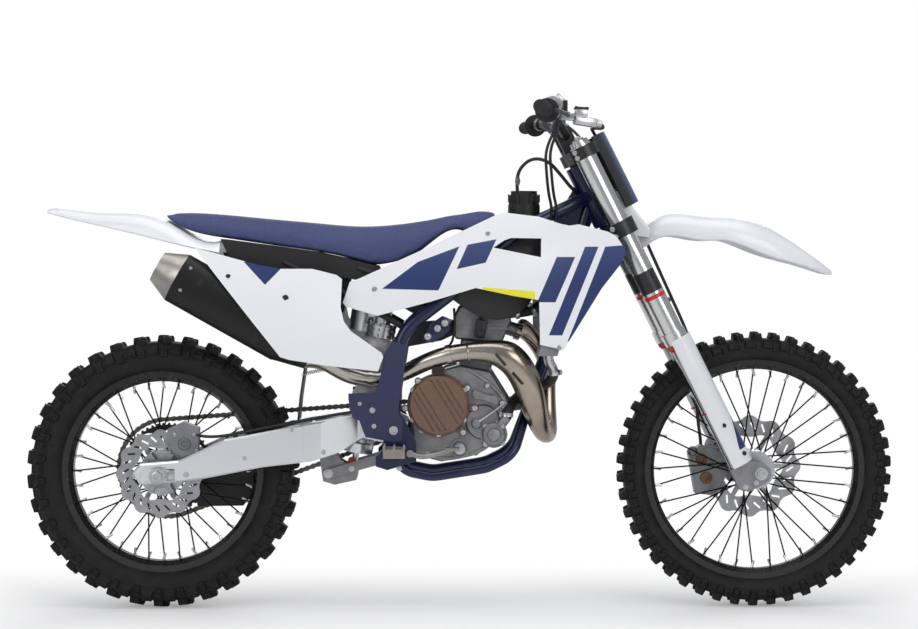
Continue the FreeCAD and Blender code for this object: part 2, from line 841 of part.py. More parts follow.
def bar_mounts():
    """Two posts with caps that hold the bar over the upper clamp."""
    centre = Vector(bar_centre.x, 0, bar_centre.z)
    local = steering_frame.inverse().multVec(centre)
    top = upper_clamp_low + upper_clamp_thickness
    height = local.z - top + bar_radius + bar_cap_height
    low = Vector(local.x - bar_mount_depth / 2, -bar_mount_half - bar_mount_width / 2, top)
    post = Part.makeBox(bar_mount_depth, bar_mount_width, height, low)
    post = placed(post).cut(cylinder_y(bar_radius + run_gap, -bar_half_width, bar_half_width, centre))
    return both_sides(post)


def bar_pad():
    """The pad over the bar mounts, six-sided across its length."""
    centre = Vector(bar_centre.x, 0, bar_centre.z)
    local = steering_frame.inverse().multVec(centre)
    low = local.z + bar_radius + bar_cap_height + skin_gap
    half = bar_pad_depth / 2
    corners = [(0.62, 0.0), (1.0, 0.45), (0.72, 1.0), (-0.72, 1.0), (-1.0, 0.45), (-0.62, 0.0)]
    points = [Vector(local.x + half * x, 0, low + bar_pad_height * z) for x, z in corners]
    return placed(slab(points, -bar_pad_half, bar_pad_half))


plate_bracket_width = 24.0
plate_bracket_height = 12.0


def front_plate():
    """The front number plate, bowed across its width, with its bracket to the upper clamp."""
    side = (plate_side_reach, plate_half_width)
    bracket_start = clamp_offset + clamp_bridge_depth / 2 + skin_gap
    low = Vector(bracket_start, -plate_bracket_width / 2, upper_clamp_low + plate_bracket_height / 2)
    bracket = Part.makeBox(plate_reach - plate_wall / 2 - bracket_start, plate_bracket_width,
                           plate_bracket_height, low)
    wires = []
    middle = plate_low * 0.35 + plate_high * 0.65
    for up, width_share in ((plate_low, 0.82), (middle, 1.0), (plate_high, 0.86)):
        outer = []
        inner = []
        for share in (-1.0, -0.8, 0.0, 0.8, 1.0):
            reach = plate_reach - (plate_reach - side[0]) * abs(share) ** 3
            y = plate_half_width * width_share * share
            outer.append(Vector(reach, y, up))
            inner.append(Vector(reach - plate_wall, y * (1 - plate_wall / plate_half_width), up))
        wires.append(band_wire(outer, inner))
    return placed(Part.makeLoft(wires, True, False).fuse(bracket))


front_fender_shares = [
    (0.786, 0.630, 0.614, 0.42), (0.809, 0.640, 0.610, 0.60), (0.832, 0.661, 0.625, 0.78),
    (0.873, 0.669, 0.627, 0.88),
    (0.942, 0.663, 0.622, 0.98), (0.999, 0.652, 0.602, 1.00), (1.055, 0.622, 0.585, 0.86),
    (1.100, 0.591, 0.571, 0.60), (1.129, 0.569, 0.564, 0.24),
]
rear_fender_shares = [
    (-0.189, 0.672, 0.668, 0.40), (-0.140, 0.672, 0.655, 0.58), (-0.072, 0.669, 0.640, 0.74),
    (-0.005, 0.661, 0.624, 0.86), (0.040, 0.636, 0.613, 0.94), (0.1028, 0.620, 0.600, 1.00),
]


def head_tube():
    low = lower_clamp_low + lower_clamp_thickness + head_tube_gap
    high = upper_clamp_low - head_tube_gap
    shell = Part.makeCylinder(head_tube_radius, high - low, Vector(0, 0, low))
    bore = Part.makeCylinder(stem_radius + run_gap, high - low + 2 * overrun, Vector(0, 0, low - overrun))
    return shell, bore, low, high


spar_shares = [(0.605, 0.640), (0.484, 0.530), (0.405, 0.470), (0.392, 0.405), (0.3905, 0.306)]
down_tube_shares = [(0.655, 0.445), (0.618, 0.345)]
cradle_shares = [
    (0.618, 0.345), (0.590, 0.262), (0.545, 0.240), (0.455, 0.226), (0.405, 0.236), (0.388, 0.275),
]


def down_tube_points():
    _, _, low, _ = head_tube()
    return [on_fork(-head_tube_radius * 0.35, 0, low + head_tube_radius * 2.4)] + outline(down_tube_shares)


def down_tube(radius):
    return tube(down_tube_points(), radius, wheelbase * 0.2)


def frame_front():
    """Head tube, its gusset and the single down tube."""
    shell, bore, low, high = head_tube()
    points = down_tube_points()
    down = down_tube(down_tube_radius)
    gusset = slab([
        on_fork(0, 0, high - head_tube_radius), on_fork(0, 0, low + head_tube_radius * 1.6),
        points[1] + (points[0] - points[1]) * 0.45, at(0.646, 0.630),
    ], -down_tube_radius * 0.6, down_tube_radius * 0.6)
    return placed(shell).fuse([down, gusset]).cut(placed(bore))


def frame_spars(radius):
    """The two upper tubes, from the head tube down to the swingarm pivot."""
    _, _, low, high = head_tube()
    start = on_fork(0, 0, (low + high) / 2)
    points = [Vector(start.x, -head_tube_radius * 0.5, start.z)]
    widths = (0.62, 0.90, 0.96, 1.0, 1.0)
    for (x, z), width in zip(spar_shares, widths):
        points.append(at(x, z, -spar_half_spacing * width))
    return tube(points, radius, wheelbase * 0.08)


def frame_cradle(radius):
    points = [at(cradle_shares[0][0], cradle_shares[0][1], -down_tube_radius * 0.6)]
    for x, z in cradle_shares[1:]:
        points.append(at(x, z, -cradle_half_spacing))
    return tube(points, radius, wheelbase * 0.06)


tower_x_share = 0.442
tower_z_share = 0.500
tower_shares = [(0.442, 0.512), (0.368, 0.551), (0.368, 0.528), (0.442, 0.486)]
tower_wall = 6.0


def shock_tower():
    """The cross tube between the spars and the two ears that hold the shock's top eye."""
    centre = at(tower_x_share, tower_z_share)
    tie = cylinder_y(spar_radius * 0.9, -spar_half_spacing, spar_half_spacing, centre)
    inner = shock_eye_width / 2 + skin_gap
    ear = slab(outline(tower_shares), -inner - tower_wall, -inner)
    return [tie, ear, mirrored(ear)]


pivot_plate_shares = [
    (0.372, 0.330), (0.405, 0.330), (0.428, 0.285), (0.428, 0.254), (0.380, 0.240), (0.361, 0.246),
    (0.361, 0.262), (0.374, 0.275),
]


def main_frame():
    front = frame_front()
    _, bore, _, _ = head_tube()
    spar = frame_spars(spar_radius)
    rail = frame_cradle(cradle_radius)
    boss = cylinder_y(pivot_radius * 2.2, -spar_half_spacing - spar_radius,
                      -spar_half_spacing + spar_radius, pivot)
    plate = slab(outline(pivot_plate_shares), -spar_half_spacing - spar_radius,
                 -arm_front_half_width - spacer_gap)
    tie = cylinder_y(link_tie_radius, -arm_front_half_width - spacer_radius, 0,
                     at(link_tie_x_share, link_tie_z_share))
    side = spar.fuse([rail, boss, plate, tie])
    hole = cylinder_y(pivot_radius, -wheelbase, wheelbase, pivot)
    whole = front.fuse([side, mirrored(side)] + shock_tower())
    return whole.cut([placed(bore), hole])


arm_side_shares = [
    (-0.042, 0.236), (-0.030, 0.215), (0.036, 0.220), (0.080, 0.226), (0.171, 0.244), (0.253, 0.2535),
    (0.300, 0.268), (0.338, 0.292), (0.372, 0.284), (0.412, 0.300), (0.414, 0.318), (0.392, 0.330),
    (0.318, 0.327), (0.253, 0.3175), (0.110, 0.290), (0.034, 0.255), (-0.030, 0.250),
]


arm_weld_x_share = 0.2405
arm_plan_shares = [
    (-0.05, 1.0), (0.27, 1.0), (0.33, 0.767), (0.43, 0.767), (0.43, 0.498), (0.30, 0.506),
]
arm_cross_shares = [(0.243, 0.268), (0.276, 0.272), (0.284, 0.305), (0.250, 0.312)]
axle_pocket_shares = [(-0.033, 0.2195), (0.028, 0.2225), (0.028, 0.2445), (-0.026, 0.2445)]
axle_block_shares = [(-0.014, 0.2205), (0.014, 0.2220), (0.014, 0.2430), (-0.014, 0.2430)]
axle_pocket_depth = 6.0
arm_edge = 4.0


def swingarm_plan():
    """The room that one leg takes, seen from above."""
    x = wheelbase
    inner = arm_half_width - arm_thickness
    points = [Vector(a * x, -b * arm_half_width, 0) for a, b in arm_plan_shares]
    points += [Vector((arm_weld_x_share + 0.0045) * x, -inner, 0)]
    points += [Vector(arm_plan_shares[0][0] * x, -inner, 0)]
    return polygon_face(points).extrude(Vector(0, 0, x))


def swingarm():
    """Two tapering legs, butted on the ends of a forked front casting with its cross member."""
    x = wheelbase
    side = slab(outline(arm_side_shares), -arm_half_width, -arm_front_half_width * 0.62)
    side = side.makeChamfer(arm_edge, face_edges(side, -arm_half_width))
    arm = side.common(swingarm_plan())
    inner = arm_half_width - arm_thickness
    cross = slab(outline(arm_cross_shares), -inner, inner)
    weld = arm_weld_x_share * x
    behind = Part.makeBox(x, 2 * x, x, Vector(weld - skin_gap - x, -x, 0))
    leg = arm.common(behind).cut(cylinder_y(rear_axle_radius, -x, x, rear_axle))
    floor = -arm_half_width + axle_pocket_depth
    pocket = slab(outline(axle_pocket_shares), -x, floor).cut(slab(outline(axle_block_shares), -x, floor))
    leg = leg.cut(pocket)
    casting = arm.cut(Part.makeBox(x, 2 * x, x, Vector(weld - x, -x, 0)))
    casting = casting.fuse([mirrored(casting), cross])
    casting = casting.cut(cylinder_y(pivot_radius, -x, x, pivot))
    return Part.makeCompound([leg, mirrored(leg), casting])


def pivot_bolt():
    half = spar_half_spacing + spar_radius
    return cylinder_y(pivot_radius, -half, half, pivot)


crankcase_shares = [
    (0.425, 0.262), (0.470, 0.2505), (0.530, 0.262), (0.560, 0.285), (0.588, 0.335), (0.580, 0.357),
    (0.552, 0.402), (0.500, 0.412), (0.478, 0.406), (0.434, 0.378), (0.418, 0.350),
]
cylinder_shares = [(0.500, 0.412), (0.552, 0.402), (0.568, 0.450), (0.503, 0.455)]
cylinder_room_shares = [(0.495, 0.400), (0.500, 0.470), (0.575, 0.470), (0.5535, 0.400)]
head_shares = [(0.492, 0.455), (0.572, 0.450), (0.588, 0.488), (0.560, 0.512), (0.500, 0.510), (0.490, 0.490)]
case_half_width = 80.0
case_left_width = 46.0
clutch_radius = 78.0
clutch_height = 30.0
clutch_x_share = 0.465
clutch_z_share = 0.346
cylinder_half_width = 48.0
head_half_width = 56.0
ignition_radius = 62.0
ignition_height = 40.0
crank_x_share = 0.5286
crank_z_share = 0.315


engine_lug_shares = [(0.575, 0.330), (0.575, 0.355), (0.612, 0.357), (0.612, 0.335)]
engine_lug_half_width = 14.0
case_corner = 9.0
case_edge = 4.0
case_seam_height = 5.0
case_seam_width = 8.0
flange_height = 7.0
flange_reach = 5.0
screw_boss_radius = 7.0


def outline_edges(shape, low, high):
    """The edges that run from side to side of a block between Y low and Y high."""
    return [e for e in shape.Edges
            if abs(e.BoundBox.YMin - low) < skin_gap and abs(e.BoundBox.YMax - high) < skin_gap]


def face_edges(shape, side):
    """The edges round the face of a block that looks along Y at the place side."""
    return [e for e in shape.Edges
            if abs(e.BoundBox.YMin - side) < skin_gap and abs(e.BoundBox.YMax - side) < skin_gap]


def cast_block(points, low, high, corner, edge):
    """A casting from a side outline, with rounded corners and chamfered rims."""
    block = slab(points, low, high)
    block = block.makeFillet(corner, outline_edges(block, low, high))
    return block.makeChamfer(edge, face_edges(block, low) + face_edges(block, high))


def grown(points, reach):
    """A side outline moved outwards by reach on every side."""
    wire = Part.makePolygon(points + [points[0]])
    wider = wire.makeOffset2D(reach, 2)
    return [Vector(v.X, v.Y, v.Z) for v in wider.OrderedVertexes]


def crankcase():
    """The cases, with the seam where they meet and the lug on the foot of the down tube."""
    block = cast_block(outline(crankcase_shares), -case_half_width, case_left_width, case_corner, case_edge)
    seam = slab(grown(outline(crankcase_shares), case_seam_height), -case_seam_width / 2, case_seam_width / 2)
    seam = seam.cut(slab(outline(cylinder_room_shares), -cylinder_half_width, cylinder_half_width))
    lug = slab(outline(engine_lug_shares), -engine_lug_half_width, engine_lug_half_width)
    rail = frame_cradle(cradle_radius + skin_gap)
    frame = [down_tube(down_tube_radius + skin_gap), rail, mirrored(rail)]
    lug = lug.cut(frame)
    block = block.fuse([max(lug.Solids, key=lambda solid: -solid.CenterOfMass.x), seam])
    return block.cut(cylinder_y(drive_pitch_radius + chain_height, chain_y - chain_width,
                                wheelbase, countershaft))


def cover_profile(radius, seat_y, height, side):
    """Half the section of a round cover: flange, step, wall and chamfered crown."""
    crown = radius - flange_reach
    return [
        (0, seat_y), (radius, seat_y), (radius, seat_y + side * flange_height),
        (crown, seat_y + side * flange_height), (crown, seat_y + side * (height - case_edge)),
        (crown - case_edge, seat_y + side * height), (0, seat_y + side * height),
    ]


def screw_bosses(radius, count, seat_y, height, side, centre):
    """Round bosses on a cover's flange, standing on the case."""
    ends = sorted((seat_y, seat_y + side * height))
    bosses = []
    for i in range(count):
        place = centre + heading(2 * math.pi * (i + 0.5) / count) * (radius - flange_reach)
        bosses.append(cylinder_y(screw_boss_radius, *ends, place))
    return bosses


clutch_bosses = 6
clutch_grooves_per_side = 3
groove_width = 5.0
groove_depth = 3.0
groove_pitch = 13.0
groove_lean_deg = -58.0


def clutch_cover():
    """The round clutch cover, with two bands of slanted grooves on its face."""
    centre = at(clutch_x_share, clutch_z_share)
    seat_y = -case_half_width - skin_gap
    cover = revolved(cover_profile(clutch_radius, seat_y, clutch_height, -1), Vector(centre.x, 0, centre.z))
    cover = cover.fuse(screw_bosses(clutch_radius, clutch_bosses, seat_y, clutch_height * 0.5, -1, centre))
    way = heading(math.radians(groove_lean_deg))
    across = Vector(way.z, 0, -way.x)
    low = seat_y - clutch_height - overrun
    grooves = []
    for side in (-1, 1):
        for i in range(clutch_grooves_per_side):
            off = clutch_radius * 0.22 + groove_pitch * i
            half = math.sqrt((clutch_radius - 3 * flange_reach) ** 2 - off ** 2)
            middle = centre + across * off * side
            grooves.append(slot(middle - way * half, middle + way * half, groove_width, low,
                                seat_y - clutch_height + groove_depth))
    return cover.cut(grooves)


ignition_bosses = 5


def ignition_cover():
    centre = at(crank_x_share, crank_z_share)
    seat_y = case_left_width + skin_gap
    profile = cover_profile(ignition_radius, seat_y, ignition_height, 1)
    cover = revolved(profile, Vector(centre.x, 0, centre.z))
    return cover.fuse(screw_bosses(ignition_radius, ignition_bosses, seat_y, flange_height * 2, 1, centre))


def between(first, last, share):
    return first + (last - first) * share


def cylinder_block():
    """The barrel, with a flange at its foot."""
    rear_low, front_low, front_high, rear_high = outline(cylinder_shares)
    barrel = cast_block([rear_low, front_low, front_high, rear_high], -cylinder_half_width,
                        cylinder_half_width, case_corner, case_edge)
    rise = flange_height / (rear_high - rear_low).Length
    foot = [rear_low, front_low, between(front_low, front_high, rise), between(rear_low, rear_high, rise)]
    return barrel.fuse(slab(foot, -cylinder_half_width - flange_reach, cylinder_half_width + flange_reach))


cover_seam_share = 0.52


def cylinder_head():
    """The head with its seamed cover, the exhaust port and the coolant outlets."""
    block = cast_block(outline(head_shares), -head_half_width, head_half_width, case_corner, case_edge)
    low_rear, low_front, front, _, _, rear = outline(head_shares)
    line = [between(low_rear, rear, cover_seam_share), between(low_front, front, cover_seam_share)]
    lift = Vector(0, 0, flange_height)
    seam = slab([line[0], line[1], line[1] + lift, line[0] + lift], -head_half_width - flange_reach,
                head_half_width + flange_reach)
    start, after = top_hose_points()[:2]
    outlet = Part.makeCylinder(hose_radius * 0.85, hose_radius * 3, start, start - after)
    port_start, port_way = header_start()
    port_radius = header_radius * header_shares[0][3] * 0.9
    port = Part.makeCylinder(port_radius, header_radius, port_start, port_way * -1)
    return block.fuse([seam, outlet, mirrored(outlet), port])


header_shares = [
    (0.596, 0.468, 0.0, 0.40), (0.630, 0.448, 0.34, 0.42), (0.652, 0.400, 0.58, 0.42),
    (0.652, 0.330, 0.45, 0.42), (0.646, 0.293, -0.10, 0.46), (0.632, 0.318, -0.62, 0.54),
    (0.611, 0.384, -1.02, 0.72), (0.578, 0.428, -1.12, 0.74), (0.530, 0.436, -1.12, 0.50),
    (0.487, 0.431, -1.06, 0.44), (0.440, 0.415, -0.88, 0.42), (0.400, 0.397, -0.74, 0.42),
    (0.354, 0.389, -0.76, 0.42), (0.303, 0.402, -0.92, 0.42),
]
silencer_pipe_share = 0.44
header_radius = 50.0
header_half_spacing = 92.0


def header_start():
    """Where the pipe meets the port, and the way it leaves."""
    x, z, side, _ = header_shares[0]
    return at(x, z, header_half_spacing * side), Vector(0.9, 0.1, -0.3).normalize()


# Cuts in the resonance chamber, from and to, and the stations where a clamp ring goes
chamber_cut_shares = [((0.5554, 0.4222), (0.5770, 0.4006)), ((0.5848, 0.3928), (0.6091, 0.3712))]
chamber_cut_width = 5.0
chamber_cut_depth = 5.0
clamp_shares = [0, 9, 12]
clamp_length = 12.0
clamp_height = 3.0


def exhaust_header():
    """The pipe that leaves the head, loops low in front and runs back on the right side."""
    points = []
    radii = []
    for x, z, side, size in header_shares:
        points.append(at(x, z, header_half_spacing * side))
        radii.append(header_radius * size)
    points.append(silencer_joint())
    radii.append(header_radius * silencer_pipe_share)
    _, front, way = silencer_axis()
    whole = pipe(points, radii, Vector(0.3, 1, 0.2), header_start()[1], way * -1)
    rings = []
    for i in clamp_shares:
        along = (points[i + 1] - points[i - 1]).normalize() if i else header_start()[1]
        rings.append(Part.makeCylinder(radii[i] + clamp_height, clamp_length, points[i], along))
    chamber = -header_half_spacing * 1.12 - header_radius * 0.74
    cuts = []
    for first, last in chamber_cut_shares:
        cuts.append(slot(at(*first), at(*last), chamber_cut_width, chamber - overrun,
                         chamber + chamber_cut_depth * 2))
    return whole.fuse(rings).cut(cuts)


silencer_front_x_share = 0.209
silencer_front_z_share = 0.4595
silencer_rear_x_share = 0.0335
silencer_rear_z_share = 0.5585
silencer_y = 108.0
silencer_half_height = 64.0
silencer_half_width = 45.0
silencer_cap_length = 56.0
silencer_inlet_length = 70.0


def silencer_axis():
    front = at(silencer_front_x_share, silencer_front_z_share, -silencer_y)
    rear = at(silencer_rear_x_share, silencer_rear_z_share, -silencer_y)
    return rear, front, (front - rear).normalize()


def silencer_joint():
    """Where the pipe meets the silencer's inlet."""
    _, front, way = silencer_axis()
    return front + way * silencer_inlet_length - Vector(0, 0, silencer_half_height * 0.35)


def silencer():
    """An oval can, with the inlet cone that narrows to the pipe."""
    rear, front, way = silencer_axis()
    side = Vector(0, 1, 0)
    wires = [
        ring_wire(rear, way, silencer_half_width, silencer_half_height, side),
        ring_wire(front, way, silencer_half_width, silencer_half_height, side),
    ]
    can = Part.makeLoft(wires, True, True)
    narrow = header_radius * silencer_pipe_share
    cone = Part.makeLoft([
        ring_wire(front, way, silencer_half_width * 0.98, silencer_half_height * 0.98, side),
        ring_wire(silencer_joint(), way, narrow * 1.05, narrow * 1.06, side),
    ], True, True)
    return can.fuse(cone)


def silencer_cap():
    rear, _, way = silencer_axis()
    side = Vector(0, 1, 0)
    back = rear - way * silencer_cap_length
    cone = Part.makeLoft([
        ring_wire(rear, way, silencer_half_width, silencer_half_height, side),
        ring_wire(back, way, silencer_half_width * 0.6, silencer_half_height * 0.6, side),
    ], True, True)
    bore = Part.makeCylinder(silencer_half_width * 0.45, silencer_cap_length, back - way, way)
    return cone.cut(bore)


shroud_z_shares = [0.404, 0.471, 0.539, 0.606, 0.682]
shroud_section_shares = [
    (0.295, (0.540, 0.560, 0.570, 0.500, 0.400)), (0.377, (0.590, 0.620, 0.620, 0.520, 0.390)),
    (0.471, (0.610, 0.630, 0.640, 0.540, 0.370)), (0.572, (0.740, 0.750, 0.720, 0.600, 0.380)),
    (0.646, (0.865, 0.875, 0.840, 0.740, 0.480)), (0.714, (0.945, 0.950, 0.930, 0.870, 0.680)),
    (0.782, (0.990, 1.000, 0.990, 0.950, 0.860)),
]
shroud_shares = [
    (0.307, 0.517), (0.3185, 0.5515), (0.334, 0.557), (0.455, 0.612), (0.561, 0.6625), (0.577, 0.666),
    (0.631, 0.659), (0.663, 0.648), (0.6795, 0.644), (0.695, 0.646), (0.741, 0.634), (0.7535, 0.6275),
    (0.768, 0.607), (0.768, 0.596), (0.7615, 0.581), (0.731, 0.542), (0.669, 0.441), (0.631, 0.449),
    (0.6295, 0.522), (0.5885, 0.5285), (0.526, 0.5415), (0.452, 0.519), (0.364, 0.4955), (0.312, 0.5105),
]
vent_shares = [(0.5555, 0.608), (0.5737, 0.620), (0.585, 0.624), (0.634, 0.623), (0.633, 0.592)]


def shroud():
    """The panel beside the tank that widens into the radiator shroud, with its vent."""
    skin = shroud_skin()
    panel = skin.common(slab(outline(shroud_shares), -wheelbase, 0))
    return panel.cut(slab(outline(vent_shares), -wheelbase, 0))


boss_radius = 7.0


def boss_to_skin(place, skin):
    """A round boss from a place inside the bodywork out to the inner face of a panel."""
    rod = Part.makeCylinder(boss_radius, wheelbase * 0.2, place, Vector(0, -1, 0))
    return max(rod.cut(skin).Solids, key=lambda solid: solid.CenterOfMass.y)


def shroud_skin():
    return side_skin(shroud_section_shares, shroud_z_shares, shroud_half_width, panel_wall)


side_z_shares = [0.397, 0.471, 0.539, 0.613]
side_shares = [
    (0.054, (0.88, 0.90, 0.84, 0.66)), (0.135, (0.97, 0.97, 0.90, 0.67)), (0.215, (1.00, 1.00, 0.90, 0.67)),
    (0.296, (0.90, 0.90, 0.82, 0.66)), (0.380, (0.79, 0.79, 0.72, 0.64)),
]
side_panel_shares = [
    (0.0625, 0.608), (0.162, 0.581), (0.2065, 0.573), (0.257, 0.573), (0.297, 0.563), (0.306, 0.556),
    (0.304, 0.510), (0.309, 0.487), (0.321, 0.4705), (0.371, 0.4345), (0.374, 0.428), (0.365, 0.404),
    (0.287, 0.4135), (0.220, 0.4245), (0.206, 0.429), (0.197, 0.4405),
]


def side_panel_skin():
    return side_skin(side_shares, side_z_shares, side_panel_half_width, panel_wall)


def side_panel():
    skin = side_panel_skin()
    return skin.common(slab(outline(side_panel_shares), -wheelbase, 0))


seat_shares = [
    (0.006, 0.6665, 0.6635, 0.60), (0.040, 0.6655, 0.641, 0.78), (0.111, 0.6620, 0.6245, 0.93),
    (0.202, 0.6535, 0.6110, 1.00), (0.265, 0.6480, 0.6020, 1.00), (0.320, 0.6435, 0.5900, 0.98),
    (0.368, 0.6440, 0.5790, 0.95), (0.438, 0.6520, 0.6060, 0.86), (0.506, 0.6640, 0.6380, 0.72),
    (0.562, 0.6675, 0.6600, 0.56),
]


def seat():
    """The long seat, crowned across and dished where the rider sits."""
    wires = []
    for x_share, top_share, low_share, width_share in seat_shares:
        half = seat_half_width * width_share
        top = top_share * wheelbase
        low = low_share * wheelbase
        x = x_share * wheelbase
        depth = top - low
        outer = [
            Vector(x, -half, low), Vector(x, -half * 0.97, low + depth * 0.45),
            Vector(x, -half * 0.62, top - depth * 0.08), Vector(x, 0, top),
            Vector(x, half * 0.62, top - depth * 0.08), Vector(x, half * 0.97, low + depth * 0.45),
            Vector(x, half, low),
        ]
        wires.append(Part.Wire([spline_edge(outer), Part.LineSegment(outer[-1], outer[0]).toShape()]))
    return Part.makeLoft(wires, True, False)


tank_half_width = 104.0
tank_gap = 0.6
tank_head_gap = 4.0
tank_shares = [
    (0.431, 0.570, 0.550, 0.60), (0.470, 0.586, 0.536, 0.85), (0.520, 0.610, 0.500, 1.00),
    (0.565, 0.632, 0.488, 1.00), (0.600, 0.646, 0.500, 0.98), (0.636, 0.650, 0.580, 0.52),
]
tank_saddle_shares = [(0.425, 0.530), (0.660, 0.530), (0.660, 0.440), (0.425, 0.440)]


def fuel_tank():
    """The tank between the frame's upper tubes, with a lobe each side of the cylinder head."""
    wires = []
    for x_share, top_share, low_share, width_share in tank_shares:
        x = x_share * wheelbase
        top = top_share * wheelbase
        low = low_share * wheelbase
        half = tank_half_width * width_share
        depth = top - low
        profile = [
            (-half * 0.9, low), (-half, low + depth * 0.4), (-half * 0.85, top - depth * 0.18), (0, top),
            (half * 0.85, top - depth * 0.18), (half, low + depth * 0.4), (half * 0.9, low),
        ]
        outer = [Vector(x, y, z) for y, z in profile]
        wires.append(Part.Wire([spline_edge(outer), Part.LineSegment(outer[-1], outer[0]).toShape()]))
    body = Part.makeLoft(wires, True, False)
    spar = frame_spars(spar_radius + tank_gap)
    saddle_half = head_half_width + tank_head_gap
    saddle = slab(outline(tank_saddle_shares), -saddle_half, saddle_half)
    body = body.cut(saddle).cut(spar).cut(mirrored(spar))
    return max(body.Solids, key=lambda solid: solid.Volume)


cap_x_share = 0.6095
cap_base_share = 0.640
cap_radius = 33.0
cap_neck_radius = 40.0
cap_neck_height = 60.0
cap_height = 34.0
cap_lugs = 6


def filler_cap():
    """The ribbed cap on the filler neck."""
    base = at(cap_x_share, cap_base_share) + Vector(0, 0, cap_neck_height + skin_gap)
    body = Part.makeCylinder(cap_radius, cap_height, base)
    ribs = []
    for i in range(cap_lugs):
        turn = i * 2 * math.pi / cap_lugs
        foot = base + Vector(math.cos(turn), math.sin(turn), 0) * cap_radius
        ribs.append(Part.makeCylinder(cap_radius * 0.16, cap_height * 0.7, foot))
    return body.fuse(ribs)


def filler_neck():
    return Part.makeCylinder(cap_neck_radius, cap_neck_height, at(cap_x_share, cap_base_share))


radiator_shares = [(0.633, 0.437), (0.656, 0.437), (0.691, 0.555), (0.668, 0.555)]
radiator_tank_shares = [(0.628, 0.430), (0.660, 0.430), (0.6665, 0.452), (0.6345, 0.452)]
radiator_inner = 66.0
radiator_outer = 168.0


radiator_fins = 14
fin_depth = 7.0
fin_open_share = 0.62
radiator_frame = 7.0


def radiator_grille():
    """The gaps between the fins on the front of a radiator's core."""
    low, high = outline(radiator_tank_shares)[2], outline(radiator_shares)[2]
    run = (high - low) * (1 / (radiator_fins + 1))
    inward = Vector(-run.z, 0, run.x).normalize() * fin_depth
    gaps = []
    for i in range(radiator_fins):
        start = low + run * (i + 0.2)
        end = start + run * fin_open_share
        gaps.append(slab([start - inward, end - inward, end + inward, start + inward],
                         -radiator_outer + radiator_frame, -radiator_inner - radiator_frame))
    return gaps


def radiator():
    """A finned core that leans with the down tube, with a tank at its foot and its head."""
    core = slab(outline(radiator_shares), -radiator_outer, -radiator_inner).cut(radiator_grille())
    middle = (outline(radiator_shares)[0] + outline(radiator_shares)[2]) * 0.5
    boss = boss_to_skin(middle - Vector(0, radiator_outer - boss_radius, 0), shroud_skin())
    low = slab(outline(radiator_tank_shares), -radiator_outer, -radiator_inner)
    lift = (radiator_shares[2][1] - radiator_shares[1][1]) * wheelbase
    high = low.copy()
    high.translate(Vector((radiator_shares[2][0] - radiator_shares[1][0]) * wheelbase, 0, lift))
    return core.fuse([low, high, boss])


hose_radius = 12.0
top_hose_shares = [(0.594, 0.497, 0.36), (0.630, 0.503, 0.40), (0.6775, 0.545, 0.44), (0.6775, 0.545, 0.995)]


def top_hose_points():
    return [at(x, z, -radiator_inner * y) for x, z, y in top_hose_shares]


def top_hose():
    """A coolant hose from the cylinder head to a radiator."""
    return tube(top_hose_points(), hose_radius, wheelbase)


airbox_shares = [
    (0.105, 0.600), (0.125, 0.540), (0.225, 0.500), (0.285, 0.487), (0.306, 0.500), (0.320, 0.572),
    (0.300, 0.588),
]
airbox_half_width = 56.0
subframe_shares = [
    (0.103, 0.6225), (0.202, 0.6095), (0.265, 0.6005), (0.320, 0.5885), (0.364, 0.5775),
    (0.372, 0.560), (0.335, 0.553), (0.262, 0.567), (0.206, 0.570), (0.170, 0.573), (0.118, 0.590),
]
subframe_half_width = 88.0
strut_radius = 9.0
strut_shares = [(0.2065, 0.584), (0.330, 0.520), (0.404, 0.478)]
panel_boss_shares = [(0.158, 0.578), (0.285, 0.5433)]
rail_shares = [(0.330, 0.574), (0.400, 0.548), (0.4505, 0.5140)]


def subframe():
    """The composite airbox and seat carrier, with the rails and struts that bolt to the frame."""
    tray = slab(outline(subframe_shares), -subframe_half_width, subframe_half_width)
    box = slab(outline(airbox_shares), -airbox_half_width, airbox_half_width)
    half = spar_half_spacing - spar_radius - strut_radius * 1.5
    skin = side_panel_skin()
    pieces = [box]
    for x, z in panel_boss_shares:
        boss = boss_to_skin(at(x, z, -half), skin)
        pieces += [boss, mirrored(boss)]
    for shares in (strut_shares, rail_shares):
        bar = tube([at(x, z, -half) for x, z in shares], strut_radius, wheelbase * 0.1)
        pieces += [bar, mirrored(bar)]
    return tray.fuse(pieces)


shock_foot_x_share = 0.3185
shock_foot_z_share = 0.225
shock_top_x_share = 0.3785
shock_top_z_share = 0.5387
shock_eye_radius = 16.0
shock_eye_width = 34.0
shock_rod_radius = 8.0
shock_body_radius = 24.0
shock_collar_radius = 40.0
shock_neck_radius = 13.0
spring_radius = 38.0
spring_wire_radius = 6.5
spring_turns = 8
reservoir_radius = 25.0
reservoir_length = 78.0
reservoir_gap = 4.0


def shock_axis():
    foot = at(shock_foot_x_share, shock_foot_z_share)
    top = at(shock_top_x_share, shock_top_z_share)
    return foot, top, (top - foot).normalize()


def turned(profile, foot, way):
    """A section of (radius, height) points turned about an axis from foot along way."""
    points = [Vector(radius, 0, height) for radius, height in profile]
    shape = polygon_face(points).revolve(Vector(0, 0, 0), Vector(0, 0, 1), 360)
    shape.Placement = Placement(foot, Rotation(Vector(0, 0, 1), way))
    return shape


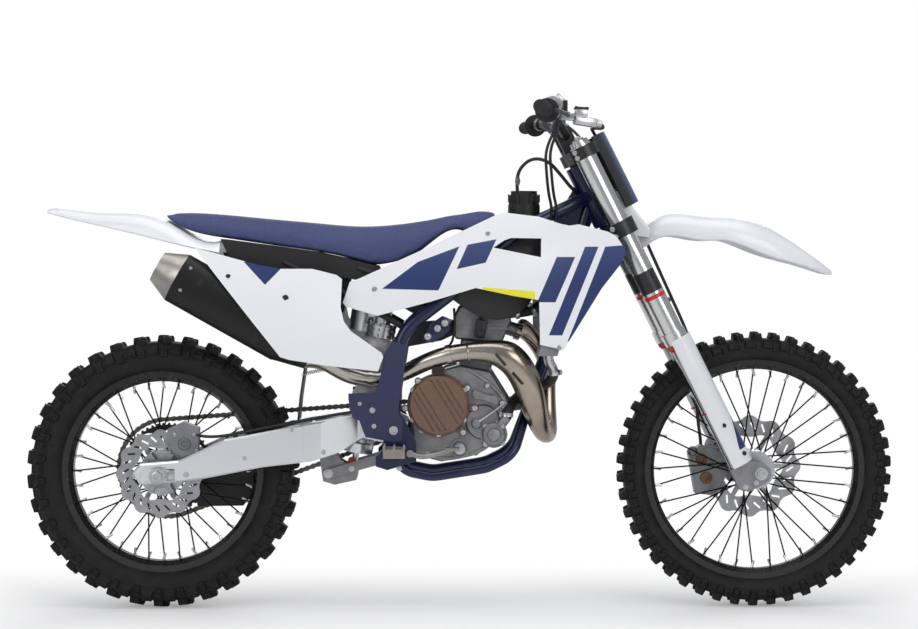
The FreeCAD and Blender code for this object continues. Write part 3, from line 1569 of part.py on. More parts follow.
def shock():
    """The damper: rod, spring seats and body, an eye at each end and the reservoir beside it."""
    foot, top, way = shock_axis()
    length = (top - foot).Length
    half_eye = shock_eye_width / 2
    rod = shock_rod_radius
    body = shock_body_radius
    seat_radius = shock_collar_radius
    steps = [(rod, 0.0, 0.40), (seat_radius, 0.12, 0.17), (body, 0.38, 0.89), (seat_radius, 0.74, 0.80),
             (shock_neck_radius, 0.88, 1.0)]
    column = []
    for radius, low_share, high_share in steps:
        start = foot + way * (length * low_share)
        column.append(Part.makeCylinder(radius, length * (high_share - low_share), start, way))
    across = Vector(-way.z, 0, way.x)
    reach = shock_body_radius + reservoir_radius + reservoir_gap
    bridge = Part.makeCylinder(shock_eye_radius, reach, foot + way * (length * 0.85), across)
    start = foot + way * (length * 0.92) + across * reach
    pot = Part.makeCylinder(reservoir_radius, reservoir_length, start, way * -1)
    low_eye = cylinder_y(shock_eye_radius, -half_eye, half_eye, foot)
    high_eye = cylinder_y(shock_eye_radius, -half_eye, half_eye, top)
    return low_eye.fuse([high_eye, bridge, pot] + column)


def shock_spring():
    """The coil round the damper, drawn as close turns in one turned section."""
    foot, top, way = shock_axis()
    length = (top - foot).Length
    start = length * 0.17 + skin_gap
    end = length * 0.74 - skin_gap
    pitch = (end - start) / spring_turns
    bore = spring_radius - spring_wire_radius * 2
    profile = [(bore, start)]
    for i in range(spring_turns):
        low = start + pitch * i
        profile += [(spring_radius - spring_wire_radius, low), (spring_radius, low + pitch * 0.3),
                    (spring_radius, low + pitch * 0.7)]
    profile += [(spring_radius - spring_wire_radius, end), (bore, end)]
    return turned(profile, foot, way)


link_thickness = 10.0
rocker_shares = [
    (0.262, 0.2700), (0.270, 0.214), (0.290, 0.208), (0.326, 0.216), (0.330, 0.232), (0.300, 0.250),
    (0.290, 0.268), (0.276, 0.2717),
]
link_rod_shares = [(0.270, 0.232), (0.281, 0.220), (0.374, 0.245), (0.370, 0.262)]
link_eye_radius = 15.0
link_tie_radius = 9.0
link_tie_x_share = 0.3725
link_tie_z_share = 0.254


def shock_linkage():
    """The rocker under the swingarm and the two links forward to the frame."""
    inner = shock_eye_width / 2 + skin_gap
    rocker = slab(outline(rocker_shares), -inner - link_thickness, -inner)
    link = slab(outline(link_rod_shares), -inner - 2 * link_thickness, -inner - link_thickness)
    tie = at(link_tie_x_share, link_tie_z_share)
    ring = cylinder_y(link_eye_radius, -inner - 2 * link_thickness, -inner - link_thickness, tie)
    outer = inner + 2 * link_thickness
    cross = cylinder_y(link_thickness, -outer, outer, at(0.278, 0.228))
    side = rocker.fuse([link, ring])
    whole = side.fuse([mirrored(side), cross])
    return whole.cut(cylinder_y(link_tie_radius + run_gap, -wheelbase, wheelbase, tie))


guard_shares = [
    (0.3885, 0.454), (0.415, 0.446), (0.398, 0.3375), (0.405, 0.324), (0.405, 0.2915), (0.395, 0.286),
    (0.344, 0.295), (0.334, 0.3225), (0.3225, 0.327), (0.316, 0.357), (0.316, 0.367), (0.335, 0.368),
    (0.360, 0.368), (0.368, 0.390), (0.374, 0.431),
]


def frame_guard():
    """The textured shield over the frame above the footpeg."""
    outside = spar_half_spacing + spar_radius + skin_gap
    return slab(outline(guard_shares), -outside - panel_wall, -outside)


flap_shares = [(0.2515, 0.4939), (0.243, 0.417), (0.234, 0.355), (0.2305, 0.318)]
flap_half_width = 50.0
flap_wall = 4.0


def mud_flap():
    """The flap that keeps the rear tyre's spray off the shock."""
    front = outline(flap_shares)
    back = [point - Vector(flap_wall, 0, 0) for point in reversed(front)]
    return slab(front + back, -flap_half_width, flap_half_width)


guide_shares = [
    (0.038, 0.228), (0.052, 0.165), (0.130, 0.166), (0.152, 0.190), (0.150, 0.236), (0.080, 0.222),
]
guide_wall = 4.0
guide_gap = 2.5
sprocket_room = 7.0


def chain_guide():
    """The block under the swingarm that the lower run of the chain passes through."""
    inner = chain_y - chain_width / 2 - guide_gap
    outer = chain_y + chain_width / 2 + guide_gap
    block = slab(outline(guide_shares), inner - guide_wall, arm_half_width - arm_thickness - skin_gap)
    path = slab(chain_run(guide_gap), inner, outer)
    room = cylinder_y(sprocket_tip_radius + sprocket_room, inner, outer, rear_axle)
    return block.cut([path, room])


def chain_run(gap):
    """The side outline that the chain's lower run sweeps, with room round it."""
    reach = sprocket_pitch_radius + chain_height / 2 + gap
    low, high = chain_tangent(sprocket_pitch_radius, drive_pitch_radius, -1)
    way = (high - low).normalize()
    up = Vector(-way.z, 0, way.x) * (chain_height / 2 + gap)
    back = low - way * reach
    return [back - up, high - up, high + up, back + up]


def chain_tangent(big, small, side):
    """The two ends of a straight run that touches both pitch circles."""
    gap = countershaft - rear_axle
    tilt = math.acos((big - small) / gap.Length)
    turn = math.atan2(gap.z, gap.x) + side * tilt
    out = Vector(math.cos(turn), 0, math.sin(turn))
    return rear_axle + out * big, countershaft + out * small


peg_x_share = 0.392
peg_z_share = 0.272
peg_length = 82.0
peg_width = 52.0
peg_height = 22.0
peg_wall = 5.0
peg_teeth = 5


def footpeg():
    """A toothed open peg on its bracket, outside the frame."""
    start = spar_half_spacing + spar_radius + skin_gap
    centre = at(peg_x_share, peg_z_share)
    low = Vector(centre.x - peg_width / 2, -start - peg_length, centre.z - peg_height / 2)
    block = Part.makeBox(peg_width, peg_length, peg_height, low)
    inner = Part.makeBox(peg_width - 2 * peg_wall, peg_length - 2 * peg_wall, peg_height + 2 * overrun,
                         low + Vector(peg_wall, peg_wall, -overrun))
    bar = Part.makeBox(peg_wall, peg_length, peg_height, low + Vector(peg_width / 2 - peg_wall / 2, 0, 0))
    teeth = []
    span = peg_length / peg_teeth
    for i in range(peg_teeth):
        y = low.y + span * i
        tooth = Part.makePolygon([
            Vector(low.x, y, low.z + peg_height), Vector(low.x, y + span, low.z + peg_height),
            Vector(low.x, y + span / 2, low.z + peg_height + peg_wall), Vector(low.x, y, low.z + peg_height),
        ])
        teeth.append(Part.Face(tooth).extrude(Vector(peg_wall, 0, 0)))
    return block.cut(inner).fuse([bar] + teeth)


pedal_radius = 6.5
pedal_shares = [(0.418, 0.268, 0.0), (0.436, 0.262, 0.05), (0.468, 0.268, 0.20), (0.488, 0.276, 0.20)]
pedal_outside = 42.0
pedal_pad_length = 34.0


def pedal_start():
    return spar_half_spacing + spar_radius + skin_gap + pedal_radius


def brake_pedal():
    """The rear brake pedal, forward from its pivot below the frame guard to its pad."""
    points = [at(x, z, -pedal_start() - pedal_outside * y) for x, z, y in pedal_shares]
    arm = tube(points, pedal_radius, wheelbase * 0.05)
    end = points[-1]
    pad = Part.makeBox(pedal_pad_length, pedal_pad_length, pedal_radius,
                       end - Vector(pedal_pad_length / 2, pedal_pad_length / 2, pedal_radius / 2))
    frame_side = -spar_half_spacing - spar_radius
    pivot_pin = cylinder_y(pedal_radius * 1.4, -pedal_start() - pedal_radius, frame_side, points[0])
    return arm.fuse([pad, pivot_pin])


shift_shares = [(0.452, 0.288, 0.0), (0.500, 0.280, 0.3), (0.532, 0.270, 0.5)]


def shift_lever():
    """The gear lever on the left, forward from its shaft to its folding tip."""
    start = case_left_width + ignition_height
    points = [at(x, z, start + pedal_outside * y) for x, z, y in shift_shares]
    arm = tube(points, pedal_radius, wheelbase * 0.05)
    boss = cylinder_y(pedal_radius * 1.8, case_left_width + skin_gap, start + pedal_radius, points[0])
    tip = cylinder_y(pedal_radius * 1.3, points[-1].y, points[-1].y + pedal_outside * 0.7, points[-1])
    return arm.fuse([boss, tip])


front_caliper_shares = [
    (0.893, 0.258), (0.905, 0.187), (0.930, 0.184), (0.948, 0.192), (0.960, 0.222), (0.958, 0.250),
    (0.940, 0.262), (0.915, 0.270),
]
rear_caliper_shares = [
    (0.010, 0.282), (0.014, 0.306), (0.040, 0.318), (0.066, 0.308), (0.064, 0.262), (0.030, 0.262),
]
caliper_inner_depth = 12.0
caliper_gap = 1.5


def front_caliper():
    """A two-piston caliper behind the left fork leg, slotted for the disc."""
    outer = fork_half_spacing - lug_width / 2 - skin_gap
    block = slab(outline(front_caliper_shares), front_disc_y - caliper_inner_depth, outer)
    disc_room = cylinder_y(front_disc_radius + caliper_gap, front_disc_y - caliper_gap,
                           front_disc_y + disc_thickness + caliper_gap, front_axle)
    return block.cut(disc_room)


def rear_caliper():
    """A single-piston caliper over the rear disc, on the right swingarm leg."""
    outer = -arm_half_width + arm_thickness + skin_gap
    block = slab(outline(rear_caliper_shares), outer, -rear_disc_y + caliper_inner_depth)
    disc_room = cylinder_y(rear_disc_radius + caliper_gap, -rear_disc_y - disc_thickness - caliper_gap,
                           -rear_disc_y + caliper_gap, rear_axle)
    return block.cut(disc_room)


pump_x_share = 0.557
pump_z_share = 0.297
pump_radius = 34.0
pump_height = 26.0
filter_x_share = 0.500
filter_z_share = 0.273
filter_radius = 24.0


pump_bosses = 4


def engine_covers():
    """The water pump and oil filter covers ahead of and below the clutch cover."""
    seat_y = -case_half_width - skin_gap
    pump_centre = at(pump_x_share, pump_z_share)
    filter_centre = at(filter_x_share, filter_z_share)
    pump = revolved(cover_profile(pump_radius, seat_y, pump_height, -1), pump_centre)
    pump = pump.fuse(screw_bosses(pump_radius, pump_bosses, seat_y, pump_height * 0.6, -1, pump_centre))
    spout_start = at(pump_x_share, pump_z_share, seat_y - pump_height / 2)
    spout = Part.makeCylinder(hose_radius, pump_radius * 1.6, spout_start, Vector(0.6, 0, 0.8))
    strainer = revolved(cover_profile(filter_radius, seat_y, pump_height * 0.6, -1), filter_centre)
    return Part.makeCompound([pump.fuse(spout), strainer])


intake_shares = [
    (0.400, 0.480), (0.404, 0.440), (0.470, 0.452), (0.4915, 0.462), (0.4898, 0.486), (0.455, 0.484),
]
intake_half_width = 38.0


def intake():
    """The throttle body and its duct behind the cylinder head."""
    return slab(outline(intake_shares), -intake_half_width, intake_half_width)


rider_point = at(rider_x_share, 0.6435)


def export(nodes):
    os.makedirs("parts", exist_ok=True)
    for name, shape in nodes.items():
        moved = shape.copy()
        moved.translate(-rider_point)
        solids = moved.Solids
        whole = Part.makeCompound(solids) if len(solids) > 1 else solids[0]
        whole.exportStep(os.path.join("parts", name + ".step"))


def build():
    stem, stem_nut = steering_stem()
    upper_clamp = triple_clamp(upper_clamp_low, upper_clamp_thickness, fork_outer_radius)
    lower_clamp = triple_clamp(lower_clamp_low, lower_clamp_thickness, fork_outer_radius)
    right_shroud = shroud()
    spacer_front = fork_half_spacing - lug_width / 2 - spacer_gap
    spacer_rear = arm_half_width - arm_thickness - spacer_gap
    rear_disc_low = -rear_disc_y - disc_thickness
    sprocket_low = chain_y - sprocket_thickness / 2
    nodes = {
        "front_tyre": tyre(front_tyre_radius, front_rim_radius, front_tyre_width, front_rim_width,
                           front_axle),
        "front_rim": rim(front_rim_radius, front_rim_width, front_axle),
        "front_hub": hub_and_spokes(front_hub_radius, front_hub_width, front_rim_radius,
                                    front_axle_radius, spacer_front,
                                    (-front_hub_width / 2 - hub_seat_step, front_disc_y), front_axle),
        "front_disc": brake_disc(front_disc_radius, front_disc_y, spacer_radius, front_axle),
        "rear_tyre": tyre(rear_tyre_radius, rear_rim_radius, rear_tyre_width, rear_rim_width, rear_axle),
        "rear_rim": rim(rear_rim_radius, rear_rim_width, rear_axle),
        "rear_hub": hub_and_spokes(rear_hub_radius, rear_hub_width, rear_rim_radius,
                                   rear_axle_radius, spacer_rear, (-rear_disc_y, sprocket_low), rear_axle),
        "rear_disc": brake_disc(rear_disc_radius, rear_disc_low, spacer_radius, rear_axle),
        "rear_sprocket": sprocket(rear_sprocket_teeth, sprocket_tip_radius, spacer_radius, rear_axle,
                                  sprocket_low, sprocket_windows),
        "front_axle": axle(front_axle_radius, fork_half_spacing + lug_width / 2, 1, front_axle),
        "rear_axle": axle(rear_axle_radius, arm_half_width, -1, rear_axle),
        "chain": chain(),
        "fork_outer_tubes": fork_outers(),
        "fork_inner_tubes": fork_inners(),
        "fork_axle_lugs": axle_lugs(),
        "fork_guards": fork_guards(),
        "upper_clamp": upper_clamp.fuse([stem_nut, bar_mounts()]),
        "lower_clamp": lower_clamp.fuse(stem),
        "handlebar": handlebar(),
        "grips": grips(),
        "throttle_housing": throttle_housing(),
        "hand_levers": Part.makeCompound([lever_set(True), mirrored(lever_set(False))]),
        "bar_pad": bar_pad(),
        "front_plate": front_plate(),
        "front_fender": front_fender(),
        "rear_fender": fender(rear_fender_shares, rear_fender_half_width, fender_wall, 0.8),
        "main_frame": main_frame(),
        "swingarm": swingarm(),
        "pivot_bolt": pivot_bolt(),
        "crankcase": crankcase(),
        "clutch_cover": clutch_cover(),
        "ignition_cover": ignition_cover(),
        "cylinder": cylinder_block().fuse(cylinder_head()),
        "exhaust_header": exhaust_header(),
        "silencer": silencer(),
        "silencer_cap": silencer_cap(),
        "shroud_right": right_shroud,
        "shroud_left": mirrored(right_shroud),
        "side_panels": both_sides(side_panel()),
        "seat": seat(),
        "fuel_tank": fuel_tank().fuse(filler_neck()),
        "filler_cap": filler_cap(),
        "radiators": both_sides(radiator()),
        "coolant_hoses": both_sides(top_hose()),
        "subframe": subframe(),
        "shock": shock(),
        "shock_spring": shock_spring(),
        "shock_linkage": shock_linkage(),
        "frame_guards": both_sides(frame_guard()),
        "mud_flap": mud_flap(),
        "chain_guide": chain_guide(),
        "front_sprocket": sprocket(front_sprocket_teeth, drive_tip_radius, spacer_radius * 0.6, countershaft,
                                   sprocket_low, 0),
        "footpegs": both_sides(footpeg()),
        "foot_controls": Part.makeCompound([brake_pedal(), shift_lever()]),
        "front_caliper": front_caliper(),
        "rear_caliper": rear_caliper(),
        "engine_covers": engine_covers(),
        "intake": intake(),
    }
    export(nodes)


build()
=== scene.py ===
import json
import math

import bmesh
import bpy
from mathutils import Matrix, Vector

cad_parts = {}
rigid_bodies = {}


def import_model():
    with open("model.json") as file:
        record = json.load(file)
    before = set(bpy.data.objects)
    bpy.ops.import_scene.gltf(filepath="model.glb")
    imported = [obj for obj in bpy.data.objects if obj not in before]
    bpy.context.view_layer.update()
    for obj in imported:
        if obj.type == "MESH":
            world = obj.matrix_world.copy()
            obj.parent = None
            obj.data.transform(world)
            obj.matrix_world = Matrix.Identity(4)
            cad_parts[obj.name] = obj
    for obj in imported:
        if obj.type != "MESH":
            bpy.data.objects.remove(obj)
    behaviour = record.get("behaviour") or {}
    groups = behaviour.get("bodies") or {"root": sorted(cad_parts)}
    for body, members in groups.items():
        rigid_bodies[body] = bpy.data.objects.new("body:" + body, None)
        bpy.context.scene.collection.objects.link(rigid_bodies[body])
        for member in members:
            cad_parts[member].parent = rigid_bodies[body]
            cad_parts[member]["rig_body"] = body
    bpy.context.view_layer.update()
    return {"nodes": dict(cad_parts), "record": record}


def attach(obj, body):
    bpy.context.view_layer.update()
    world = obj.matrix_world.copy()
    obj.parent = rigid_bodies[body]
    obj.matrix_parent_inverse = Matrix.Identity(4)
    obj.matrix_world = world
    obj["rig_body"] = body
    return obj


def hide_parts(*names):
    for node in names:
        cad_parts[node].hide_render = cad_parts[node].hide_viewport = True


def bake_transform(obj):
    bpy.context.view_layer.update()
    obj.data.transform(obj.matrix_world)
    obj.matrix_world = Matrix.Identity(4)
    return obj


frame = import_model()

# The drawing is in mm, with the rear axle over X 0 and the ground at Z 0. MIDDLE is what the camera looks at
RIDER = Vector((475.2, 0.0, 955.6))
MM = 0.001
WHEELBASE = 1485.0
MIDDLE = 742.0
RIGHT = Vector((0.0, -1.0, 0.0))
LEFT = Vector((0.0, 1.0, 0.0))
UP = Vector((0.0, 0.0, 1.0))
SIDES = (("right", RIGHT), ("left", LEFT))


def place(x, y, z):
    """A point of the drawing, in metres of the frame."""
    return (Vector((x, y, z)) - RIDER) * MM


def shares(x, z):
    """A point of the middle plane, given as shares of the wheelbase, in mm."""
    return Vector((x * WHEELBASE, 0.0, z * WHEELBASE))


def heading(turn):
    """The way in the side view at this angle."""
    return Vector((math.cos(turn), 0.0, math.sin(turn)))


# Steering axis: up along it, and ahead of it
RAKE = math.radians(26.5)
AXLE_LEAD = 61.0
LEG_AHEAD = 22.0
LEG_SIDES = (-105.0, 105.0)
FRONT_AXLE = Vector((WHEELBASE, 0.0, 346.0))
REAR_AXLE = Vector((0.0, 0.0, 342.0))
UP_FORK = Vector((-math.sin(RAKE), 0.0, math.cos(RAKE)))
AHEAD = Vector((math.cos(RAKE), 0.0, math.sin(RAKE)))
STEERING_FOOT = FRONT_AXLE - AHEAD * AXLE_LEAD


def fork_spot(up, side=0.0, ahead=0.0):
    """A point up the steering axis, to the side and forward of it, in mm."""
    return STEERING_FOOT + UP_FORK * up + LEFT * side + AHEAD * ahead


def on_fork(up, side=0.0, ahead=0.0):
    """The same point, in metres of the frame."""
    return place(*fork_spot(up, side, ahead))


# Camera, lights and floor

def make_camera():
    data = bpy.data.cameras.new("view")
    data.lens = 78.0
    data.sensor_width = 36.0
    camera = bpy.data.objects.new("view", data)
    bpy.context.scene.collection.objects.link(camera)
    camera.location = place(687, -5000, 890)
    aim = place(MIDDLE, 0, 735) - camera.location
    camera.rotation_euler = aim.to_track_quat("-Z", "Y").to_euler()
    bpy.context.scene.camera = camera


def make_lamp(name, at, aim, size, power):
    data = bpy.data.lights.new(name, "AREA")
    data.shape = "RECTANGLE"
    data.size, data.size_y = size
    data.energy = power
    lamp = bpy.data.objects.new(name, data)
    bpy.context.scene.collection.objects.link(lamp)
    lamp.location = Vector(at)
    lamp.rotation_euler = (Vector(aim) - lamp.location).to_track_quat("-Z", "Y").to_euler()


make_camera()
make_lamp("overhead", (0.2, -0.6, 3.2), (0.2, 0.0, -0.3), (4.5, 3.0), 78.0)
make_lamp("front_side", (2.4, -3.6, 1.3), (0.3, 0.0, -0.3), (2.4, 2.0), 44.0)
make_lamp("rear_side", (-2.6, -3.4, 1.5), (0.1, 0.0, -0.3), (2.2, 2.0), 34.0)
make_lamp("far_side", (0.3, 4.2, 1.8), (0.2, 0.0, -0.3), (4.0, 2.2), 50.0)
bpy.context.scene.view_settings.view_transform = "Standard"


def reckoned(operation, swapped=False):
    """A method that makes one math node of a value and what it is reckoned with."""
    def method(value, other=0.0):
        first, second = (other, value) if swapped else (value, other)
        return value.finish.node("ShaderNodeMath", {"operation": operation}, {0: first, 1: second})
    return method


class Value:
    """A socket in a finish, so that what varies over a surface is written as a sum."""

    __add__ = __radd__ = reckoned("ADD")
    __mul__ = __rmul__ = reckoned("MULTIPLY")
    __sub__, __rsub__ = reckoned("SUBTRACT"), reckoned("SUBTRACT", swapped=True)
    __pow__, __abs__ = reckoned("POWER"), reckoned("ABSOLUTE")
    wave, most, least = reckoned("SINE"), reckoned("MAXIMUM"), reckoned("MINIMUM")

    def __init__(self, finish, socket):
        self.finish, self.socket = finish, socket

    def rise(self, low, high):
        """0 below low and 1 above high, smooth between them."""
        sockets = {0: self, 1: low, 2: high, 3: 0.0, 4: 1.0}
        return self.finish.node("ShaderNodeMapRange", {"interpolation_type": "SMOOTHSTEP"}, sockets)


class Finish:
    """One material: a Principled surface with its numbers set and its varying sockets fed."""

    def __init__(self, name, colour, roughness, metallic=0.0, coat=0.0, shine=0.5):
        self.material = bpy.data.materials.new(name)
        self.material.use_nodes = True
        self.tree = self.material.node_tree
        self.shader = self.tree.nodes["Principled BSDF"]
        for socket, value in (("Base Color", (*colour, 1.0)), ("Roughness", roughness),
                              ("Metallic", metallic), ("Coat Weight", coat), ("Coat Roughness", 0.08),
                              ("Specular IOR Level", shine)):
            self.put(socket, value)
        self.where = self.node("ShaderNodeTexCoord", {}, {}, "Object")

    def feed(self, socket, value):
        if isinstance(value, Value):
            self.tree.links.new(value.socket, socket)
        else:
            socket.default_value = value

    def put(self, socket, value):
        """Feeds one of the surface's own sockets."""
        self.feed(self.shader.inputs[socket], value)
        return self

    def node(self, kind, settings, sockets, out=0):
        made = self.tree.nodes.new(kind)
        for name, value in settings.items():
            setattr(made, name, value)
        for name, value in sockets.items():
            self.feed(made.inputs[name], value)
        return Value(self, made.outputs[out])

    def along(self, axis):
        """The place along X, Y or Z in metres."""
        return self.node("ShaderNodeSeparateXYZ", {}, {0: self.where}, axis)

    def stretched(self, scale, turn=(0.0, 0.0, 0.0)):
        """Object coordinates turned and scaled, for grain that runs one way."""
        sockets = {"Vector": self.where, "Rotation": turn, "Scale": scale}
        return self.node("ShaderNodeMapping", {"vector_type": "POINT"}, sockets)

    def speckle(self, scale, detail=3.0, where=None):
        sockets = {"Vector": where or self.where, "Scale": scale, "Detail": detail}
        return self.node("ShaderNodeTexNoise", {}, sockets, 0)

    def cells(self, scale, where=None):
        return self.node("ShaderNodeTexVoronoi", {}, {"Vector": where or self.where, "Scale": scale}, 0)

    def blend(self, share, first, second):
        """A colour between two, as share goes from 0 to 1."""
        sides = [side if isinstance(side, Value) else (*side, 1.0) for side in (first, second)]
        settings = {"data_type": "RGBA", "clamp_factor": True}
        return self.node("ShaderNodeMix", settings, {0: share, 6: sides[0], 7: sides[1]}, 2)

    def colour(self, value):
        return self.put("Base Color", value)

    def rough(self, value):
        return self.put("Roughness", value)

    def worn(self, patch, colour, other, roughness, more):
        """The other colour and more roughness where patch is 1."""
        return self.colour(self.blend(patch, colour, other)).rough(roughness + patch * more)

    def bump(self, height, depth):
        """Relief of this height, 0 to 1, and depth in metres."""
        return self.put("Normal", self.node("ShaderNodeBump", {}, {"Height": height, "Distance": depth}))


# Colours of the machine
WHITE = (0.80, 0.81, 0.83)
NAVY = (0.012, 0.030, 0.130)
DEEP_NAVY = (0.005, 0.008, 0.045)
YELLOW = (0.80, 0.72, 0.02)
RED = (0.55, 0.02, 0.015)


def plastic(name, colour, roughness, coat=0.0, grain=900.0, depth=0.00003):
    """Moulded plastic: faint flow marks in the gloss and a fine grain."""
    made = Finish(name, colour, roughness, coat=coat)
    flow = made.speckle(9.0, 4.0)
    made.rough(roughness - 0.05 + flow * 0.1)
    shade = tuple(part * 0.9 for part in colour)
    made.colour(made.blend(made.speckle(4.0, 2.0).rise(0.35, 0.75), colour, shade))
    return made.bump(made.speckle(grain, 2.0), depth)


def metal(name, colour, roughness, grain=900.0, depth=0.00002):
    """Bare metal: brushed or cast grain, and dull patches from handling."""
    made = Finish(name, colour, roughness, metallic=1.0)
    shade = tuple(part * 0.78 for part in colour)
    made.worn(made.speckle(28.0, 4.0).rise(0.35, 0.75), colour, shade, roughness, 0.12)
    return made.bump(made.speckle(grain, 3.0), depth)


def enamel(name, colour, roughness, coat, shine=0.5):
    """Painted metal: orange-peel gloss, and lighter dust where it is worn."""
    made = Finish(name, colour, roughness, coat=coat, shine=shine)
    lighter = tuple(min(1.0, part * 1.5 + 0.012) for part in colour)
    made.worn(made.speckle(45.0, 5.0).rise(0.56, 0.8), colour, lighter, roughness, 0.2)
    return made.bump(made.speckle(260.0, 2.0), 0.00008)


def rubber(name, colour, roughness=0.72):
    """Moulded rubber with paler dust on it."""
    made = Finish(name, colour, roughness)
    dusty = tuple(part + 0.022 for part in colour)
    made.worn(made.speckle(35.0, 5.0).rise(0.42, 0.8), colour, dusty, roughness, 0.15)
    return made.bump(made.speckle(700.0, 3.0), 0.00012)


def fork_ways(made):
    """Distances up the steering axis and ahead of it, in metres."""
    foot = on_fork(0.0)
    x, z = made.along(0) - foot.x, made.along(2) - foot.z
    return x * UP_FORK.x + z * UP_FORK.z, x * AHEAD.x + z * AHEAD.z


def wheel_radius(made, axle):
    """Distance from the axle in the side view, in metres."""
    ahead = made.along(0) - place(*axle).x
    above = made.along(2) - place(*axle).z
    return (ahead * ahead + above * above) ** 0.5


def tyre_rubber(name, axle):
    """Tyre rubber with moulded rings round the sidewall and patches of dust."""
    dark = (0.0045, 0.0045, 0.005)
    made = Finish(name, dark, 0.62, shine=0.3)
    made.worn(made.speckle(40.0, 5.0).rise(0.4, 0.85), dark, (0.020, 0.0195, 0.019), 0.58, 0.25)
    rings = (wheel_radius(made, axle) * 1150.0).wave() * 0.5 + 0.5
    return made.bump(rings * 0.6 + made.speckle(600.0, 3.0) * 0.4, 0.0005)


def laced_hub(name, axle, flange):
    """Cast hub inside its flange's radius, and black spokes beyond it."""
    made = Finish(name, (0.5, 0.5, 0.51), 0.32, metallic=1.0)
    spokes = wheel_radius(made, axle).rise((flange - 1.0) * MM, (flange + 1.0) * MM)
    cast = made.blend(made.speckle(50.0, 4.0), (0.52, 0.53, 0.55), (0.40, 0.41, 0.43))
    made.colour(made.blend(spokes, cast, (0.012, 0.012, 0.013)))
    made.rough(0.3 + spokes * 0.12)
    return made.bump(made.speckle(700.0, 3.0), 0.00005)


def seat_fabric():
    """Grip cover: rows of raised pips on a close-woven cloth."""
    made = Finish("seat_cover", NAVY, 0.62)
    pips = made.cells(1.0, made.stretched((210.0, 210.0, 60.0)))
    weave = made.speckle(1500.0, 2.0)
    fade = made.speckle(6.0, 3.0)
    made.colour(made.blend(fade, (0.030, 0.042, 0.130), (0.050, 0.064, 0.175)))
    made.rough(0.55 + weave * 0.2)
    return made.bump((1.0 - pips.rise(0.1, 0.55)) * 0.8 + weave * 0.2, 0.0009)


def header_steel():
    """Stainless pipe, straw and brown where the heat is and bright further back."""
    made = Finish("pipe_steel", (0.40, 0.36, 0.31), 0.2, metallic=1.0)
    heat = made.along(0).rise(0.18, 0.43)
    cloud = made.speckle(14.0, 3.0)
    warm = made.blend(cloud.rise(0.3, 0.7), (0.40, 0.33, 0.25), (0.27, 0.21, 0.16))
    made.colour(made.blend(heat * 0.7, (0.44, 0.41, 0.37), warm))
    made.rough(0.14 + made.speckle(60.0, 4.0) * 0.16)
    return made.bump(made.speckle(500.0, 2.0), 0.00003)


def brushed_arm():
    """Aluminium brushed along the swingarm."""
    made = Finish("arm_aluminium", (0.74, 0.74, 0.75), 0.32, metallic=1.0)
    line = made.speckle(900.0, 2.0, made.stretched((0.03, 1.0, 1.0), (0.0, 0.12, 0.0)))
    made.worn(line, (0.84, 0.84, 0.845), (0.76, 0.76, 0.77), 0.27, 0.1)
    return made.bump(line, 0.00001)


def fork_tube():
    """Polished outer tube with two plain bands, black over red."""
    made = Finish("fork_tube", (0.62, 0.62, 0.62), 0.2, metallic=1.0)
    up, _ = fork_ways(made)
    line = made.speckle(900.0, 2.0, made.stretched((1.0, 1.0, 0.02), (0.0, RAKE, 0.0)))
    metal_colour = made.blend(line, (0.66, 0.66, 0.65), (0.56, 0.56, 0.55))
    dark = up.rise(0.520, 0.5205) * (1.0 - up.rise(0.575, 0.5755))
    red = up.rise(0.503, 0.5035) * (1.0 - up.rise(0.513, 0.5135))
    made.colour(made.blend(red, made.blend(dark, metal_colour, (0.012, 0.012, 0.013)), RED))
    made.put("Metallic", 1.0 - dark.most(red))
    made.rough(0.17 + line * 0.12 + dark * 0.15)
    return made.bump(line, 0.00001)


PAINT_EDGE = 0.0006


def beyond(made, start, end):
    """1 on the left of the line from start to end in the side view from the right."""
    first, last = place(start[0], 0, start[1]), place(end[0], 0, end[1])
    run = (last - first).normalized()
    across = (made.along(0) - first.x) * -run.z + (made.along(2) - first.z) * run.x
    return across.rise(-PAINT_EDGE, PAINT_EDGE)


def inside(made, corners):
    """1 inside a convex outline of the side view, whose corners run clockwise seen from the right."""
    share = None
    for first, last in zip(corners, corners[1:] + corners[:1]):
        side = 1.0 - beyond(made, first, last)
        share = side if share is None else share * side
    return share


def shroud_plastic():
    """White shroud with a plain design: navy panels and bars, and a yellow flash over the intake."""
    made = plastic("shroud_plastic", WHITE, 0.3, 0.4)
    navy = None
    for corners in ([(552, 802), (640, 868), (742, 906), (690, 798)],
                    [(712, 800), (762, 910), (846, 926), (868, 880), (806, 866), (778, 806)],
                    [(958, 690), (1046, 905), (1078, 905), (990, 690)],
                    [(1003, 676), (1094, 905), (1185, 912), (1170, 860), (1040, 668)],
                    [(930, 770), (978, 880), (1022, 880), (974, 770)]):
        panel = inside(made, corners)
        navy = panel if navy is None else navy.most(panel)
    fade = made.along(2).rise(-0.14, 0.0)
    painted = made.blend(navy, WHITE, made.blend(fade, NAVY, (0.040, 0.070, 0.19)))
    flash = inside(made, [(768, 764), (800, 806), (925, 796), (925, 745)])
    return made.colour(made.blend(flash, painted, YELLOW))


def side_panel_plastic():
    """White side panel with a navy corner under the seat."""
    made = plastic("side_panel_plastic", WHITE, 0.32, 0.35)
    corner = inside(made, [(215, 868), (300, 885), (322, 868), (268, 812)])
    return made.colour(made.blend(corner, WHITE, NAVY))


